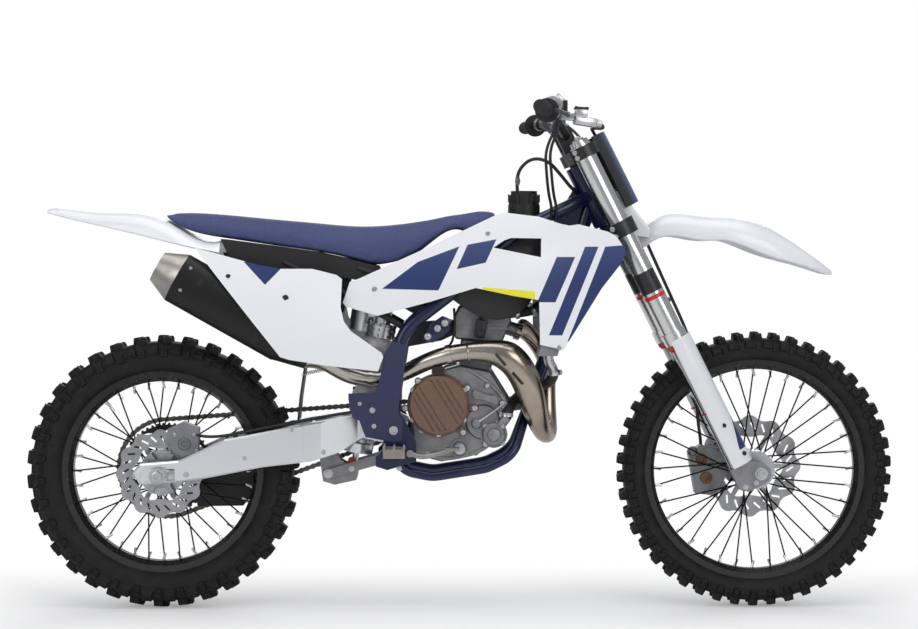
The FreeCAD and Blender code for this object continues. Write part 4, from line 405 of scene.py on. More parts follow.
def plate_plastic():
    """Front plate: a navy face, and black mesh where its sides turn back to the fork."""
    made = plastic("plate_plastic", NAVY, 0.38, 0.2)
    up, ahead = fork_ways(made)
    face = ahead.rise(0.083, 0.0835)
    net = ((ahead + up) * 700.0).wave().most(((ahead - up) * 700.0).wave()).rise(0.2, 0.6)
    mesh = made.blend(net, (0.004, 0.004, 0.005), (0.022, 0.022, 0.024))
    made.colour(made.blend(face, mesh, (0.020, 0.042, 0.145)))
    return made.bump(net * (1.0 - face), 0.0006)


def guard_plastic():
    """Pale fork guard with a small navy wedge low on its front edge."""
    pale = (0.72, 0.73, 0.74)
    made = plastic("guard_plastic", pale, 0.3, 0.35)
    up, ahead = fork_ways(made)
    edge = 0.057 - (1.0 - (up - 0.085) * 14.0).least(1.0).most(0.0) * 0.018
    navy = (ahead - edge).rise(-0.0005, 0.0005) * (1.0 - up.rise(0.160, 0.1605)) * up.rise(0.078, 0.0785)
    return made.colour(made.blend(navy, pale, NAVY))


FINISHES = {look[0]: make(*look) for make, *look in (
    (rubber, "tyre_black", (0.013, 0.013, 0.014)),
    (rubber, "grip_rubber", (0.008, 0.008, 0.009), 0.68),
    (rubber, "hose_rubber", (0.007, 0.007, 0.0075), 0.5),
    (enamel, "rim_black", (0.006, 0.006, 0.0065), 0.26, 0.1),
    (enamel, "black_steel", (0.010, 0.010, 0.011), 0.42, 0.0),
    (enamel, "navy_paint", DEEP_NAVY, 0.28, 0.4, 0.3),
    (enamel, "black_metal", (0.009, 0.009, 0.010), 0.4, 0.1),
    (enamel, "bronze_cast", (0.150, 0.083, 0.054), 0.36, 0.3),
    (enamel, "silencer_dark", (0.006, 0.006, 0.0065), 0.42, 0.0, 0.3),
    (enamel, "spring_blue", (0.55, 0.55, 0.57), 0.3, 0.3),
    (metal, "hub_silver", (0.56, 0.57, 0.59), 0.28),
    (metal, "disc_steel", (0.40, 0.40, 0.41), 0.3),
    (metal, "axle_steel", (0.66, 0.66, 0.68), 0.25),
    (metal, "chain_steel", (0.15, 0.14, 0.13), 0.38),
    (metal, "fork_chrome", (0.38, 0.38, 0.39), 0.1, 300.0, 0.000004),
    (metal, "engine_cast", (0.27, 0.27, 0.28), 0.44, 850.0, 0.0003),
    (metal, "cap_titanium", (0.38, 0.36, 0.33), 0.32, 800.0, 0.00006),
    (plastic, "white_plastic", WHITE, 0.3, 0.4),
    (plastic, "navy_plastic", (0.018, 0.022, 0.075), 0.5, 0.0, 1400.0, 0.0003),
    (plastic, "black_plastic", (0.008, 0.008, 0.009), 0.5, 0.0, 1200.0, 0.0001),
    (plastic, "pad_foam", (0.03, 0.035, 0.10), 0.6, 0.0, 1500.0, 0.0002),
)}
FINISHES.update(fork_aluminium=fork_tube(), seat_cover=seat_fabric(), arm_aluminium=brushed_arm(),
                pipe_steel=header_steel())
RED_PART = enamel("red_anodised", (0.42, 0.012, 0.012), 0.3, 0.2)
BRIGHT = metal("zinc_plated", (0.56, 0.56, 0.57), 0.26)
BRONZE = metal("bronze_cap", (0.20, 0.115, 0.07), 0.34)
DULL = metal("dull_steel", (0.22, 0.22, 0.225), 0.38)
SILVER = metal("housing_silver", (0.60, 0.60, 0.61), 0.3)
PEG_STEEL = metal("peg_steel", (0.36, 0.34, 0.31), 0.38)
SHROUD = shroud_plastic()
OWN_FINISH = {
    "shroud_right": SHROUD,
    "shroud_left": SHROUD,
    "side_panels": side_panel_plastic(),
    "fork_guards": guard_plastic(),
    "front_plate": plate_plastic(),
    "throttle_housing": SILVER,
    "foot_controls": metal("pedal_steel", (0.34, 0.33, 0.32), 0.36),
    "footpegs": PEG_STEEL,
    "front_hub": laced_hub("front_lacing", FRONT_AXLE, 51.0),
    "rear_hub": laced_hub("rear_lacing", REAR_AXLE, 60.0),
}

for part in frame["record"]["subparts"]:
    node = frame["nodes"][part["node"]]
    finish = OWN_FINISH.get(part["node"], FINISHES[part["material_slot"]])
    node.data.materials.clear()
    node.data.materials.append(finish.material)


def make_floor():
    """A pale floor with the machine's shadow on it, which the camera sees fade into white."""
    bpy.ops.object.select_all(action="DESELECT")
    bpy.ops.mesh.primitive_plane_add(size=60.0, location=place(MIDDLE, 0, 0))
    floor = bpy.context.object
    floor.name = "floor"
    made = Finish("floor_paint", (0.93, 0.93, 0.93), 0.9)
    camera_ray = made.node("ShaderNodeLightPath", {}, {}, "Is Camera Ray")
    glow = made.node("ShaderNodeEmission", {}, {"Color": (1.0, 1.0, 1.0, 1.0), "Strength": 1.0})
    away = abs(made.along(1) + 0.05).rise(0.12, 0.75).most(abs(made.along(0)).rise(0.95, 1.5))
    share = camera_ray * (0.28 + away * 0.72)
    mixed = made.node("ShaderNodeMixShader", {}, {0: share, 1: Value(made, made.shader.outputs[0]), 2: glow})
    made.feed(made.tree.nodes["Material Output"].inputs["Surface"], mixed)
    floor.data.materials.append(made.material)


def light_world():
    """Even studio light, with a white backdrop for the camera."""
    world = bpy.data.worlds.new("studio")
    bpy.context.scene.world = world
    world.use_nodes = True
    tree = world.node_tree
    plain, white = tree.nodes["Background"], tree.nodes.new("ShaderNodeBackground")
    lights = ((plain, (0.93, 0.95, 1.0, 1.0), 0.42), (white, (1.0, 1.0, 1.0, 1.0), 1.0))
    for shade, colour, strength in lights:
        shade.inputs["Color"].default_value = colour
        shade.inputs["Strength"].default_value = strength
    path = tree.nodes.new("ShaderNodeLightPath")
    mix = tree.nodes.new("ShaderNodeMixShader")
    tree.links.new(path.outputs["Is Camera Ray"], mix.inputs[0])
    tree.links.new(plain.outputs[0], mix.inputs[1])
    tree.links.new(white.outputs[0], mix.inputs[2])
    tree.links.new(mix.outputs[0], tree.nodes["World Output"].inputs["Surface"])


make_floor()
light_world()


# Modelling by hand: each step under a plain name

def choose(*pieces):
    """These pieces alone, selected, and the first of them active."""
    bpy.ops.object.select_all(action="DESELECT")
    for piece in pieces:
        piece.select_set(True)
    bpy.context.view_layer.objects.active = pieces[0]


def begin(kind, at=(0.0, 0.0, 0.0), turn=(0.0, 0.0, 0.0), **size):
    """A primitive to start from, at a point in metres of the frame."""
    bpy.ops.object.select_all(action="DESELECT")
    getattr(bpy.ops.mesh, f"primitive_{kind}_add")(location=at, rotation=turn, **size)
    return bpy.context.object


def facing(way):
    """The turn that takes +Z to this way."""
    return Vector(way).to_track_quat("Z", "Y").to_euler()


def pick(piece, test, kind="FACE"):
    """Edit mode, with only the faces, edges or points selected that pass the test."""
    if bpy.context.mode != "EDIT_MESH":
        choose(piece)
        bpy.ops.object.mode_set(mode="EDIT")
    bpy.ops.mesh.select_mode(type=kind)
    bpy.ops.mesh.select_all(action="DESELECT")
    shape = bmesh.from_edit_mesh(piece.data)
    for item in {"FACE": shape.faces, "EDGE": shape.edges, "VERT": shape.verts}[kind]:
        if test(item):
            item.select_set(True)
    bmesh.update_edit_mesh(piece.data)


def leave_edit():
    bpy.ops.object.mode_set(mode="OBJECT")


def settle(piece):
    """The piece's place goes into its mesh, and its object to the origin."""
    choose(piece)
    bpy.ops.object.transform_apply(location=True, rotation=True, scale=True)
    return piece


def shaped(piece, kind, **settings):
    """One modifier, applied."""
    choose(piece)
    added = piece.modifiers.new(kind.lower(), kind)
    for name, value in settings.items():
        setattr(added, name, value)
    bpy.ops.object.modifier_apply(modifier=added.name)
    return piece


def bevelled(piece, edge):
    """The piece with its edges chamfered, this wide in mm."""
    return shaped(piece, "BEVEL", width=edge * MM, segments=2)


def joined(pieces):
    """The pieces in one object, which is the first of them."""
    choose(*pieces)
    if len(pieces) > 1:
        bpy.ops.object.join()
    return pieces[0]


def copied(piece, places):
    """Copies of a piece, each with its own mesh, in one object. The first piece goes."""
    copies = []
    for spot in places:
        mesh = piece.data.copy()
        mesh.transform(spot)
        if spot.determinant() < 0.0:
            mesh.flip_normals()
        copy = bpy.data.objects.new(piece.name, mesh)
        bpy.context.scene.collection.objects.link(copy)
        copies.append(copy)
    bpy.data.objects.remove(piece)
    return joined(copies)


def brick(at, size, way=(0.0, 0.0, 1.0)):
    """A plain block, sizes in mm along its own sides."""
    piece = begin("cube", at, facing(way), size=1.0)
    piece.scale = tuple(length * MM for length in size)
    return settle(piece)


def box(at, size, way=(0.0, 0.0, 1.0), edge=1.5):
    """A block with chamfered edges."""
    return bevelled(brick(at, size, way), edge)


def rod(at, turn, radius, depth, sides):
    """A cylinder about its middle, sizes in mm."""
    return settle(begin("cylinder", at, turn, vertices=sides, radius=radius * MM, depth=depth * MM))


def turned(section, at=(0.0, 0.0, 0.0), way=(0.0, 0.0, 1.0), steps=24):
    """A section of (radius, height) corners in mm, spun about a way through a point."""
    piece = begin("circle", vertices=len(section), radius=1.0)
    for corner, (radius, height) in zip(piece.data.vertices, section):
        corner.co = (radius * MM, 0.0, height * MM)
    pick(piece, lambda item: True, "EDGE")
    bpy.ops.mesh.spin(steps=steps, angle=2 * math.pi, center=(0, 0, 0), axis=(0, 0, 1))
    bpy.ops.mesh.select_all(action="SELECT")
    bpy.ops.mesh.remove_doubles(threshold=0.00001)
    bpy.ops.mesh.delete_loose()
    bpy.ops.mesh.select_all(action="SELECT")
    bpy.ops.mesh.normals_make_consistent(inside=False)
    leave_edit()
    piece.rotation_euler = facing(way)
    piece.location = Vector(at)
    return settle(piece)


def cut_plate(outline, low, high, place_corner=place):
    """A plate with this outline in the side view, (X, Z) in mm, from low to high in Y."""
    piece = begin("circle", vertices=len(outline), radius=1.0, fill_type="NGON")
    for corner, (x, z) in zip(piece.data.vertices, outline):
        corner.co = place_corner(x, low, z)
    pick(piece, lambda item: True)
    move = {"value": (0.0, (high - low) * MM, 0.0)}
    bpy.ops.mesh.extrude_region_move(TRANSFORM_OT_translate=move)
    bpy.ops.mesh.select_all(action="SELECT")
    bpy.ops.mesh.normals_make_consistent(inside=False)
    leave_edit()
    return piece


def hose(name, points, radius, sides=3):
    """A smooth tube along points in metres, closed at both ends."""
    line = bpy.data.curves.new(name, "CURVE")
    line.dimensions = "3D"
    line.bevel_depth = radius * MM
    line.bevel_resolution = sides
    line.use_fill_caps = True
    spline = line.splines.new("NURBS")
    spline.points.add(len(points) - 1)
    for point, corner in zip(spline.points, points):
        point.co = (*corner, 1.0)
    spline.order_u = 3
    spline.use_endpoint_u = True
    piece = bpy.data.objects.new(name, line)
    bpy.context.scene.collection.objects.link(piece)
    choose(piece)
    bpy.ops.object.convert(target="MESH")
    return bpy.context.object


def fit(piece, name, body, slot, finish=None, replaces=(), angle=35.0):
    """Names, paints and smooths a piece or a list of parts, and hangs it on one body; a piece given more than
    one body hangs on none.
    """
    if isinstance(piece, list):
        piece = joined(piece)
    piece.name = piece.data.name = name
    choose(piece)
    bpy.ops.object.shade_smooth_by_angle(angle=math.radians(angle))
    piece.data.materials.clear()
    piece.data.materials.append((finish or FINISHES[slot]).material)
    if isinstance(body, str):
        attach(piece, body)
    else:
        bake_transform(piece)
    if replaces:
        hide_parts(*replaces)


def route(name, body, points, radius, slot="hose_rubber", finish=None):
    """A hose or cable along points in mm, as a finished piece."""
    fit(hose(name, [place(*point) for point in points], radius), name, body, slot, finish)


def hexagon_bolt(at, way, radius, height):
    """A bolt head with a chamfered top, a recess and a washer under it."""
    rim, thick = radius * 1.45, height * 0.2
    washer = turned([(0, 0), (rim, 0), (rim, thick), (0, thick)], at, way, 14)
    top = Vector(way).normalized()
    head = rod(Vector(at) + top * height * 0.5 * MM, facing(way), radius, height, 6)
    pick(head, lambda face: face.normal.dot(top) > 0.9)
    bpy.ops.mesh.inset(thickness=radius * 0.18 * MM, depth=radius * 0.1 * MM)
    bpy.ops.mesh.inset(thickness=radius * 0.3 * MM)
    bpy.ops.mesh.inset(thickness=radius * 0.02 * MM, depth=-height * 0.45 * MM)
    leave_edit()
    return [washer, head]


def bolts(name, body, spots, finish=None, slot="axle_steel", angle=35.0):
    """Bolt heads in one piece: each spot is (point in metres, way, radius, height)."""
    heads = [part for spot in spots for part in hexagon_bolt(*spot)]
    fit(heads, name, body, slot, finish or BRIGHT, angle=angle)


# Tyres

def tread_block(length, width, height):
    """One rubber block: tapered walls, a chamfered top and the shallow cup in it."""
    block = begin("cube", size=1.0)
    block.scale = (length * MM, width * MM, height * MM)
    settle(block)
    pick(block, lambda face: face.normal.z < -0.9)
    bpy.ops.transform.resize(value=(1.3, 1.25, 1.0), center_override=(0, 0, -height * MM / 2))
    pick(block, lambda face: face.normal.z > 0.9)
    bpy.ops.mesh.inset(thickness=1.2 * MM, depth=0.8 * MM)
    bpy.ops.mesh.inset(thickness=2.8 * MM)
    bpy.ops.mesh.inset(thickness=0.7 * MM, depth=-1.4 * MM)
    leave_edit()
    return block


TREAD_DEPTH = 15.0


def tyre(name, body, axle, radius, width, bead, blocks):
    """A carcass spun from its section, with rows of blocks round it and ribs down the shoulders."""
    half = width / 2
    crown = radius - TREAD_DEPTH
    section = [(0.40, 0.0), (0.72, 0.10), (0.93, 0.30), (1.0, 0.52), (0.97, 0.70), (0.84, 0.87),
               (0.62, 0.955), (0.32, 0.99), (0.0, 1.0)]
    outer = [(bead + (crown - bead) * up, half * out * 0.96) for out, up in section]
    inner = [(bead + (crown - bead) * up * 0.93 + 1.0, half * out * 0.86) for out, up in section]
    outline = outer + [(r, -y) for r, y in reversed(outer[:-1])]
    outline += [(r, -y) for r, y in inner] + [(r, y) for r, y in reversed(inner[:-1])]
    parts = [turned(outline, place(*axle), LEFT, 96)]
    for length, across, height, side, lean, top, phase, count in blocks:
        spots = []
        for row in range(count):
            turn = Matrix.Rotation((row + phase) * 2 * math.pi / count, 4, "Y")
            for way in ((1, -1) if side else (1,)):
                spot = Matrix.Translation(place(*axle)) @ turn
                spot = spot @ Matrix.Translation((0.0, way * side * MM, (top - height / 2) * MM))
                spots.append(spot @ Matrix.Rotation(-way * math.radians(lean), 4, "X"))
        parts.append(copied(tread_block(length, across, height), spots))
    fit(parts, name + "_tread", body, "tyre_black", tyre_rubber(name + "_rubber", axle), [name], 40.0)


# Each row: length, width, height, distance from the middle, lean, top radius, phase, number round the tyre
tyre("front_tyre", "front_wheel", FRONT_AXLE, 346.0, 86.0, 273.0,
     [(17.0, 14.0, 16.0, 9.0, 5.0, 345.0, 0.0, 46), (16.0, 13.0, 15.0, 25.5, 20.0, 341.0, 0.14, 46),
      (19.0, 20.0, 17.0, 37.5, 58.0, 323.0, 0.62, 46), (11.0, 15.0, 8.0, 40.42, 80.0, 313.0, 0.12, 46)])
tyre("rear_tyre", "rear_wheel", REAR_AXLE, 342.0, 108.0, 247.0,
     [(22.0, 24.0, 18.0, 0.0, 0.0, 341.0, 0.0, 34), (20.0, 18.0, 18.0, 24.0, 10.0, 338.0, 0.20, 34),
      (24.0, 26.0, 20.0, 45.5, 52.0, 318.0, 0.66, 34), (13.0, 19.0, 9.0, 50.76, 80.0, 304.5, 0.16, 34)])


# Spoke nipples and valves

SPOKES = 36


def rim_fittings(name, body, axle, radius):
    """A nipple at each spoke's head, leaning as the spokes do, and the valve stem."""
    nipple = turned([(0, -9), (2.6, -9), (3.1, -6), (3.1, 5), (4.2, 7), (4.2, 9), (0, 9)], steps=8)
    spots = []
    for spoke in range(SPOKES):
        out = heading(spoke * 2 * math.pi / SPOKES)
        lean = 1 if (spoke // 2) % 2 else -1
        way = (out + Vector((out.z, 0.12, -out.x)) * 0.28 * lean).normalized()
        spot = Matrix.Translation(place(*axle) + out * (radius - 9.0) * MM)
        spots.append(spot @ way.to_track_quat("Z", "Y").to_matrix().to_4x4())
    parts = [copied(nipple, spots)]
    stem_way = Vector((-0.64, 0.0, 0.77))
    foot = place(*axle) + stem_way * radius * MM
    parts.append(turned([(0, 0), (4, 0), (4, 14), (3, 16), (3, 30), (0, 30)], foot, -stem_way, 10))
    fit(parts, name, body, "hub_silver")


rim_fittings("front_nipples", "front_wheel", FRONT_AXLE, 251.0)
rim_fittings("rear_nipples", "rear_wheel", REAR_AXLE, 225.0)


# Chain with rollers and paired plates

CHAIN_PITCH = 15.875
CHAIN_Y = 68.5
COUNTERSHAFT = shares(0.431, 0.323)
BIG_RADIUS, SMALL_RADIUS = (CHAIN_PITCH / (2 * math.sin(math.pi / teeth)) for teeth in (49, 13))


def chain_spots():
    """Matrices of the links round both sprockets, each at its middle and turned along the run."""
    run = COUNTERSHAFT - REAR_AXLE
    slope = math.atan2(run.z, run.x)
    lean = math.asin((BIG_RADIUS - SMALL_RADIUS) / run.length)
    straight = run.length * math.cos(lean)
    upper, lower = slope - lean + math.pi / 2, slope + lean - math.pi / 2
    small_arc = SMALL_RADIUS * (math.pi - 2 * lean)
    total = 2 * straight + BIG_RADIUS * (math.pi + 2 * lean) + small_arc
    count = 2 * round(total / CHAIN_PITCH / 2)
    spots = []
    for link in range(count):
        walk = total * link / count
        if walk < straight:
            way = upper - math.pi / 2
            at = REAR_AXLE + heading(upper) * BIG_RADIUS + heading(way) * walk
        elif walk < straight + small_arc:
            turn = upper - (walk - straight) / SMALL_RADIUS
            way = turn - math.pi / 2
            at = COUNTERSHAFT + heading(turn) * SMALL_RADIUS
        elif walk < 2 * straight + small_arc:
            way = lower - math.pi / 2
            at = COUNTERSHAFT + heading(lower) * SMALL_RADIUS + heading(way) * (walk - straight - small_arc)
        else:
            turn = lower - (walk - 2 * straight - small_arc) / BIG_RADIUS
            way = turn - math.pi / 2
            at = REAR_AXLE + heading(turn) * BIG_RADIUS
        spots.append(Matrix.Translation(place(at.x, CHAIN_Y, at.z)) @ Matrix.Rotation(-way, 4, "Y"))
    return spots


def link_plate(low, high):
    """One side plate, waisted between its two round ends."""
    waist = [(-4.0, 5.2), (0.0, 4.4), (4.0, 5.2)]
    half = CHAIN_PITCH / 2
    end = [(half + 6.8 * math.cos(a), 6.8 * math.sin(a)) for a in (1.2, 0.6, 0.0, -0.6, -1.2)]
    outline = waist + end + [(-x, -z) for x, z in waist] + [(-x, -z) for x, z in end]
    return settle(cut_plate(outline, low, high, lambda x, y, z: Vector((x, y, z)) * MM))


def make_chain():
    spots = chain_spots()
    inner = [link_plate(-5.2, -3.5), link_plate(3.5, 5.2)]
    outer = [link_plate(-7.2, -5.4), link_plate(5.4, 7.2)]
    for x in (-CHAIN_PITCH / 2, CHAIN_PITCH / 2):
        for group, radius, depth in ((inner, 5.0, 7.0), (outer, 2.6, 16.0)):
            group.append(rod((x * MM, 0, 0), (math.pi / 2, 0, 0), radius, depth, 10))
    links = [copied(joined(inner), spots[0::2]), copied(joined(outer), spots[1::2])]
    fit(links, "drive_chain", "frame", "chain_steel", replaces=["chain"])


make_chain()


# Where small parts seat

# Metres to the side that are clear of every piece, and how deep in mm a washer lies in what carries it
OUTSIDE = 0.7
BOLT_SUNK = 0.3
SIDE_BOLT_ANGLE = 25.0


def meet(start, way, nodes):
    """The point where a line from start along way first meets one of these nodes."""
    looks = [frame["nodes"][node].ray_cast(start, way) for node in nodes]
    reach = [(point - start).length for met, point, _, _ in looks if met]
    if not reach:
        raise ValueError(f"nothing under {tuple(start)} in {nodes}")
    return start + way * min(reach)


def skin(x, z, nodes, way=RIGHT):
    """Where a look from the side at (X, Z) in mm first meets one of these nodes."""
    return meet(place(x, 0, z) + way * OUTSIDE, -way, nodes)


def round_about(centre, radius, count, turn):
    """Places round an axle in the side view, in mm, the first at this turn in degrees."""
    angles = [math.radians(turn) + i * 2 * math.pi / count for i in range(count)]
    return [(centre.x + radius * math.cos(a), centre.z + radius * math.sin(a)) for a in angles]


def sized(places, radius, height):
    """The same bolt at each of these places of the side view."""
    return [(x, z, radius, height) for x, z in places]


def side_bolts(name, body, nodes, spots, way=RIGHT, finish=None, slot="black_steel"):
    """Bolt heads on the side of these nodes: each spot is X, Z, radius and height in mm."""
    seats = [(skin(x, z, nodes, way) - way * BOLT_SUNK * MM, way, radius, height)
             for x, z, radius, height in spots]
    bolts(name, body, seats, finish, slot, SIDE_BOLT_ANGLE)


def axle_nuts(name, body, nodes, axle, *sizes):
    """Nuts over a hollow spindle's ends, each on whichever surface stands furthest out round it."""
    for (side, way), (radius, height) in zip(SIDES, sizes):
        rims = [skin(x, z, nodes, way) for x, z in round_about(axle, radius * 0.8, 6, 20)]
        seat = place(*axle)
        seat.y = way.y * max(rim.dot(way) for rim in rims)
        bolts(f"{name}_{side}", body, [(seat, way, radius, height)], angle=SIDE_BOLT_ANGLE)


def band(at, way, radius):
    """A strap clamp round a hose, with rolled edges and its screw housing."""
    half, edge = 4.5, radius + 1.8
    section = [(radius, -half), (edge, -half), (radius + 1.2, 0), (edge, half), (radius, half)]
    out = Vector(way).cross(LEFT).normalized()
    return [turned(section, at, way, 24),
            brick(Vector(at) + (out * (radius + 3.0) + RIGHT * 2.0) * MM, (8, 13, 5), out),
            rod(Vector(at) + (out * (radius + 3.5) + RIGHT * 9.0) * MM, facing(RIGHT), 3.4, 6, 8)]


# Fork: wiper rings, travel rings, caps, pinch bolts, guard and lug bolts

def steer(up, ahead):
    """Side-view place of a point given up and ahead of the steering axis, in mm."""
    at = fork_spot(up, 0.0, ahead)
    return at.x, at.z


def ribbed_ring(at, way, radius, width, count, depth):
    """A collar with grips cut round it."""
    start, way = Vector(at), Vector(way)
    ring = rod(start + way * width / 2 * MM, facing(way), radius, width, count * 2)
    for corner in ring.data.vertices:
        arm = corner.co - start
        arm -= way * arm.dot(way)
        if (corner.index // 2) % 2:
            corner.co -= arm.normalized() * depth * MM
    return ring


wipers, travel_rings, fork_caps = [], [], []
for side in LEG_SIDES:
    seal, top, cap = (on_fork(up, side, LEG_AHEAD) for up in (364, 369, 932.5))
    wipers.append(ribbed_ring(top, UP_FORK, 29.5, 10, 26, 1.4))
    wipers.append(turned([(24.3, 0), (27.5, 0), (27.0, 4), (24.3, 6)], seal, UP_FORK, 36))
    travel_rings.append(turned([(23.9, -2.5), (25.8, -2.2), (26.6, 0), (25.8, 2.2), (23.9, 2.5)],
                               on_fork(192, side, LEG_AHEAD), UP_FORK, 32))
    fork_caps += hexagon_bolt(cap, UP_FORK, 15.0, 6.0)
    fork_caps.append(turned([(0, 5), (7.5, 5), (7.5, 10), (6.3, 12), (0, 12)], cap, UP_FORK, 16))
fit(wipers, "fork_wipers", "steering", "fork_chrome", RED_PART)
fit(travel_rings, "fork_travel_rings", "steering", "fork_chrome", RED_PART)
fit(fork_caps, "fork_cap_adjusters", "steering", "fork_chrome", BRIGHT)

side_bolts("clamp_pinch_bolts", "steering", ["upper_clamp", "lower_clamp"],
           sized([steer(up, 0) for up in (896, 911, 682, 703)], 5.0, 5.0))
for name, way in SIDES:
    side_bolts(f"guard_bolts_{name}", "steering", ["fork_guards"],
               [(*steer(66, 44), 4.5, 3.5), (*steer(150, 30), 4.0, 3.0)], way, FINISHES["black_plastic"])
    side_bolts(f"lug_bolts_{name}", "steering", ["fork_axle_lugs"],
               sized([steer(-14, 40), steer(-12, 12)], 4.5, 4.0), way)
axle_nuts("front_axle_nut", "steering", ["front_axle", "fork_axle_lugs"], FRONT_AXLE,
          (11.0, 6.0), (13.0, 7.0))


# Wheels: sprocket and disc bolts, axle nuts

def arm_turn(node, axle, radius, way):
    """The first turn, in degrees, at which six looks round an axle all meet the node."""
    for turn in range(0, 60, 3):
        starts = [place(x, 0, z) + way * OUTSIDE for x, z in round_about(axle, radius, 6, turn)]
        if all(frame["nodes"][node].ray_cast(start, -way)[0] for start in starts):
            return turn
    return 0


side_bolts("rear_sprocket_bolts", "rear_wheel", ["rear_sprocket"],
           sized(round_about(REAR_AXLE, 42.0, 7, 8.0), 5.0, 3.5), LEFT)
for wheel, axle, radius, way in (("rear", REAR_AXLE, 62.0, RIGHT), ("front", FRONT_AXLE, 70.0, LEFT)):
    disc = f"{wheel}_disc"
    places = round_about(axle, radius, 6, arm_turn(disc, axle, radius, way))
    side_bolts(f"{disc}_bolts", f"{wheel}_wheel", [disc], sized(places, 4.6, 3.5), way, DULL)
axle_nuts("rear_axle_nut", "frame", ["rear_axle", "swingarm"], REAR_AXLE, (14.0, 9.0), (14.0, 9.0))


# The axle's pocket in each swingarm leg, drawn as a thin black plate of painted shade, with the block that
# slides in it

for name, way in SIDES:
    out = skin(40, 345, ["swingarm"], way).y / MM + RIDER.y
    low, high = sorted((out, out + way.y * 0.8))
    # A thin black plate on the arm's face stands for the pocket's recess: its black is painted shade
    dark = cut_plate([(16, 330), (60, 333), (66, 345), (60, 358), (16, 358)], low, high)
    fit(dark, f"pocket_shade_plate_{name}", "frame", "black_steel")
    slider = [box(place(30, out + way.y * 1.5, 344), (22, 24, 5), way),
              box(place(47, out + way.y * 1.5, 344), (14, 7, 5), way, 1.0)]
    fit(slider, f"adjuster_block_{name}", "frame", "axle_steel", BRIGHT)


# Chain adjusters, screws on the swingarm and frame guards, pivot nuts

adjusters = []
for _, way in SIDES:
    rest, back = place(-58, way.y * 104, 342), (-1, 0, 0)
    adjusters += hexagon_bolt(rest, back, 6.0, 6.0)
    adjusters.append(turned([(0, -20), (3.5, -20), (3.5, 0), (0, 0)], rest, back, 12))
fit(adjusters, "chain_adjusters", "frame", "axle_steel", BRIGHT)
side_bolts("arm_screws", "frame", ["swingarm"],
           [(214, 385, 4.0, 2.5), (406, 400, 5.0, 3.0), (330, 455, 3.5, 2.0), (70, 345, 5.0, 3.0)])
side_bolts("frame_guard_screws", "frame", ["frame_guards", "main_frame"],
           [(528, 504, 5.0, 3.0), (532, 465, 4.0, 2.5), (566, 400, 5.5, 3.5), (594, 360, 6.0, 4.0),
            (497, 520, 3.5, 2.0)])
axle_nuts("pivot_nut", "frame", ["pivot_bolt", "main_frame", "frame_guards"], shares(0.3905, 0.306),
          (7.5, 4.0), (7.5, 4.0))


# Engine: bolts, plugs, clutch cover ears, pump ribs, ignition coil with its lead, and head bracket

clutch, pump, oil_filter = shares(0.465, 0.346), shares(0.557, 0.297), shares(0.500, 0.273)
ignition = shares(0.5286, 0.315)
side_bolts("clutch_cover_bolts", "frame", ["clutch_cover"], sized(round_about(clutch, 73.0, 6, 30), 4.2, 4.0))
side_bolts("engine_case_bolts", "frame", ["crankcase", "engine_covers", "cylinder"],
           sized(round_about(pump, 29.0, 4, 45), 4.0, 4.0)
           + [(811, 561, 4.5, 4.0), (852, 512, 4.5, 4.0), (784, 385, 4.2, 4.0), (664, 392, 4.2, 4.0),
              (648, 450, 4.5, 4.0)])
side_bolts("ignition_cover_bolts", "frame", ["ignition_cover"],
           sized(round_about(ignition, 57.0, 5, 36), 4.2, 4.0), LEFT)


def plug(foot, radius, height):
    """A screwed plug with a gripped rim and a coin bar across its face."""
    flange, thick = radius + 2, height * 0.35
    section = [(0, 0), (flange, 0), (flange, height * 0.25), (radius - 1, thick), (0, thick)]
    return [turned(section, foot, RIGHT, 28),
            ribbed_ring(foot + RIGHT * height * 0.3 * MM, RIGHT, radius, height * 0.7, 12, radius * 0.12),
            brick(foot + RIGHT * (height + 0.8) * MM, (radius * 1.2, radius * 0.3, 2.6), RIGHT)]


CLUTCH_EARS = ((762, 556), (780, 506), (751, 446), (607, 506), (640, 573))
fit(plug(place(690, -98, 598), 12.0, 10.0), "oil_filler_plug", "frame", "black_plastic")
ears = [turned([(0, 0), (17, 0), (17, 15), (15, 18), (0, 18)], place(690, -80.5, 597), RIGHT, 28)]
for x, z in CLUTCH_EARS:
    ears.append(turned([(0, 0), (9, 0), (9, 12), (7.5, 14), (0, 14)], place(x, -80.5, z), RIGHT, 20))
    out = Vector((x, 0, z)) - clutch
    ears.append(box(place(*(clutch + out * 0.9 + RIGHT * 87)), (14, 14, 12), out, 2.0))
fit(ears, "clutch_cover_ears", "frame", "bronze_cast")
bolts("clutch_ear_bolts", "frame", [(place(x, -94.5, z), RIGHT, 4.6, 4.0) for x, z in CLUTCH_EARS])
drain = skin(oil_filter.x, oil_filter.z, ["engine_covers"])
fit(plug(drain, 11.0, 6.0), "oil_drain_plug", "frame", "axle_steel", BRIGHT)
pump_face = skin(pump.x, pump.z, ["engine_covers"])
ribs = [turned([(0, 0), (17, 0), (15, 5), (9, 7), (0, 8)], pump_face - RIGHT * 0.5 * MM, RIGHT, 32)]
for rib in range(6):
    out = heading(rib * math.pi / 3)
    ribs.append(box(pump_face + (out * 17 + RIGHT) * MM, (14, 3, 4), out, 0.6))
fit(ribs, "pump_cover_ribs", "frame", "engine_cast")

coil = [box(place(795, -76, 702), (30, 28, 44), (0.2, 0, 1), 3.0), box(place(795, -92, 690), (16, 8, 14))]
fit(coil, "ignition_coil", "frame", "black_plastic")
route("ignition_lead", "frame", [(795, -76, 724), (797, -74, 748), (775, -66, 764), (752, -50, 760),
                                 (748, -36, 742), (750, -30, 722)], 4.0)
route("sensor_wire", "frame", [(729, -60, 752), (731, -72, 720), (729, -76, 690), (722, -70, 662),
                               (706, -62, 648)], 3.2)

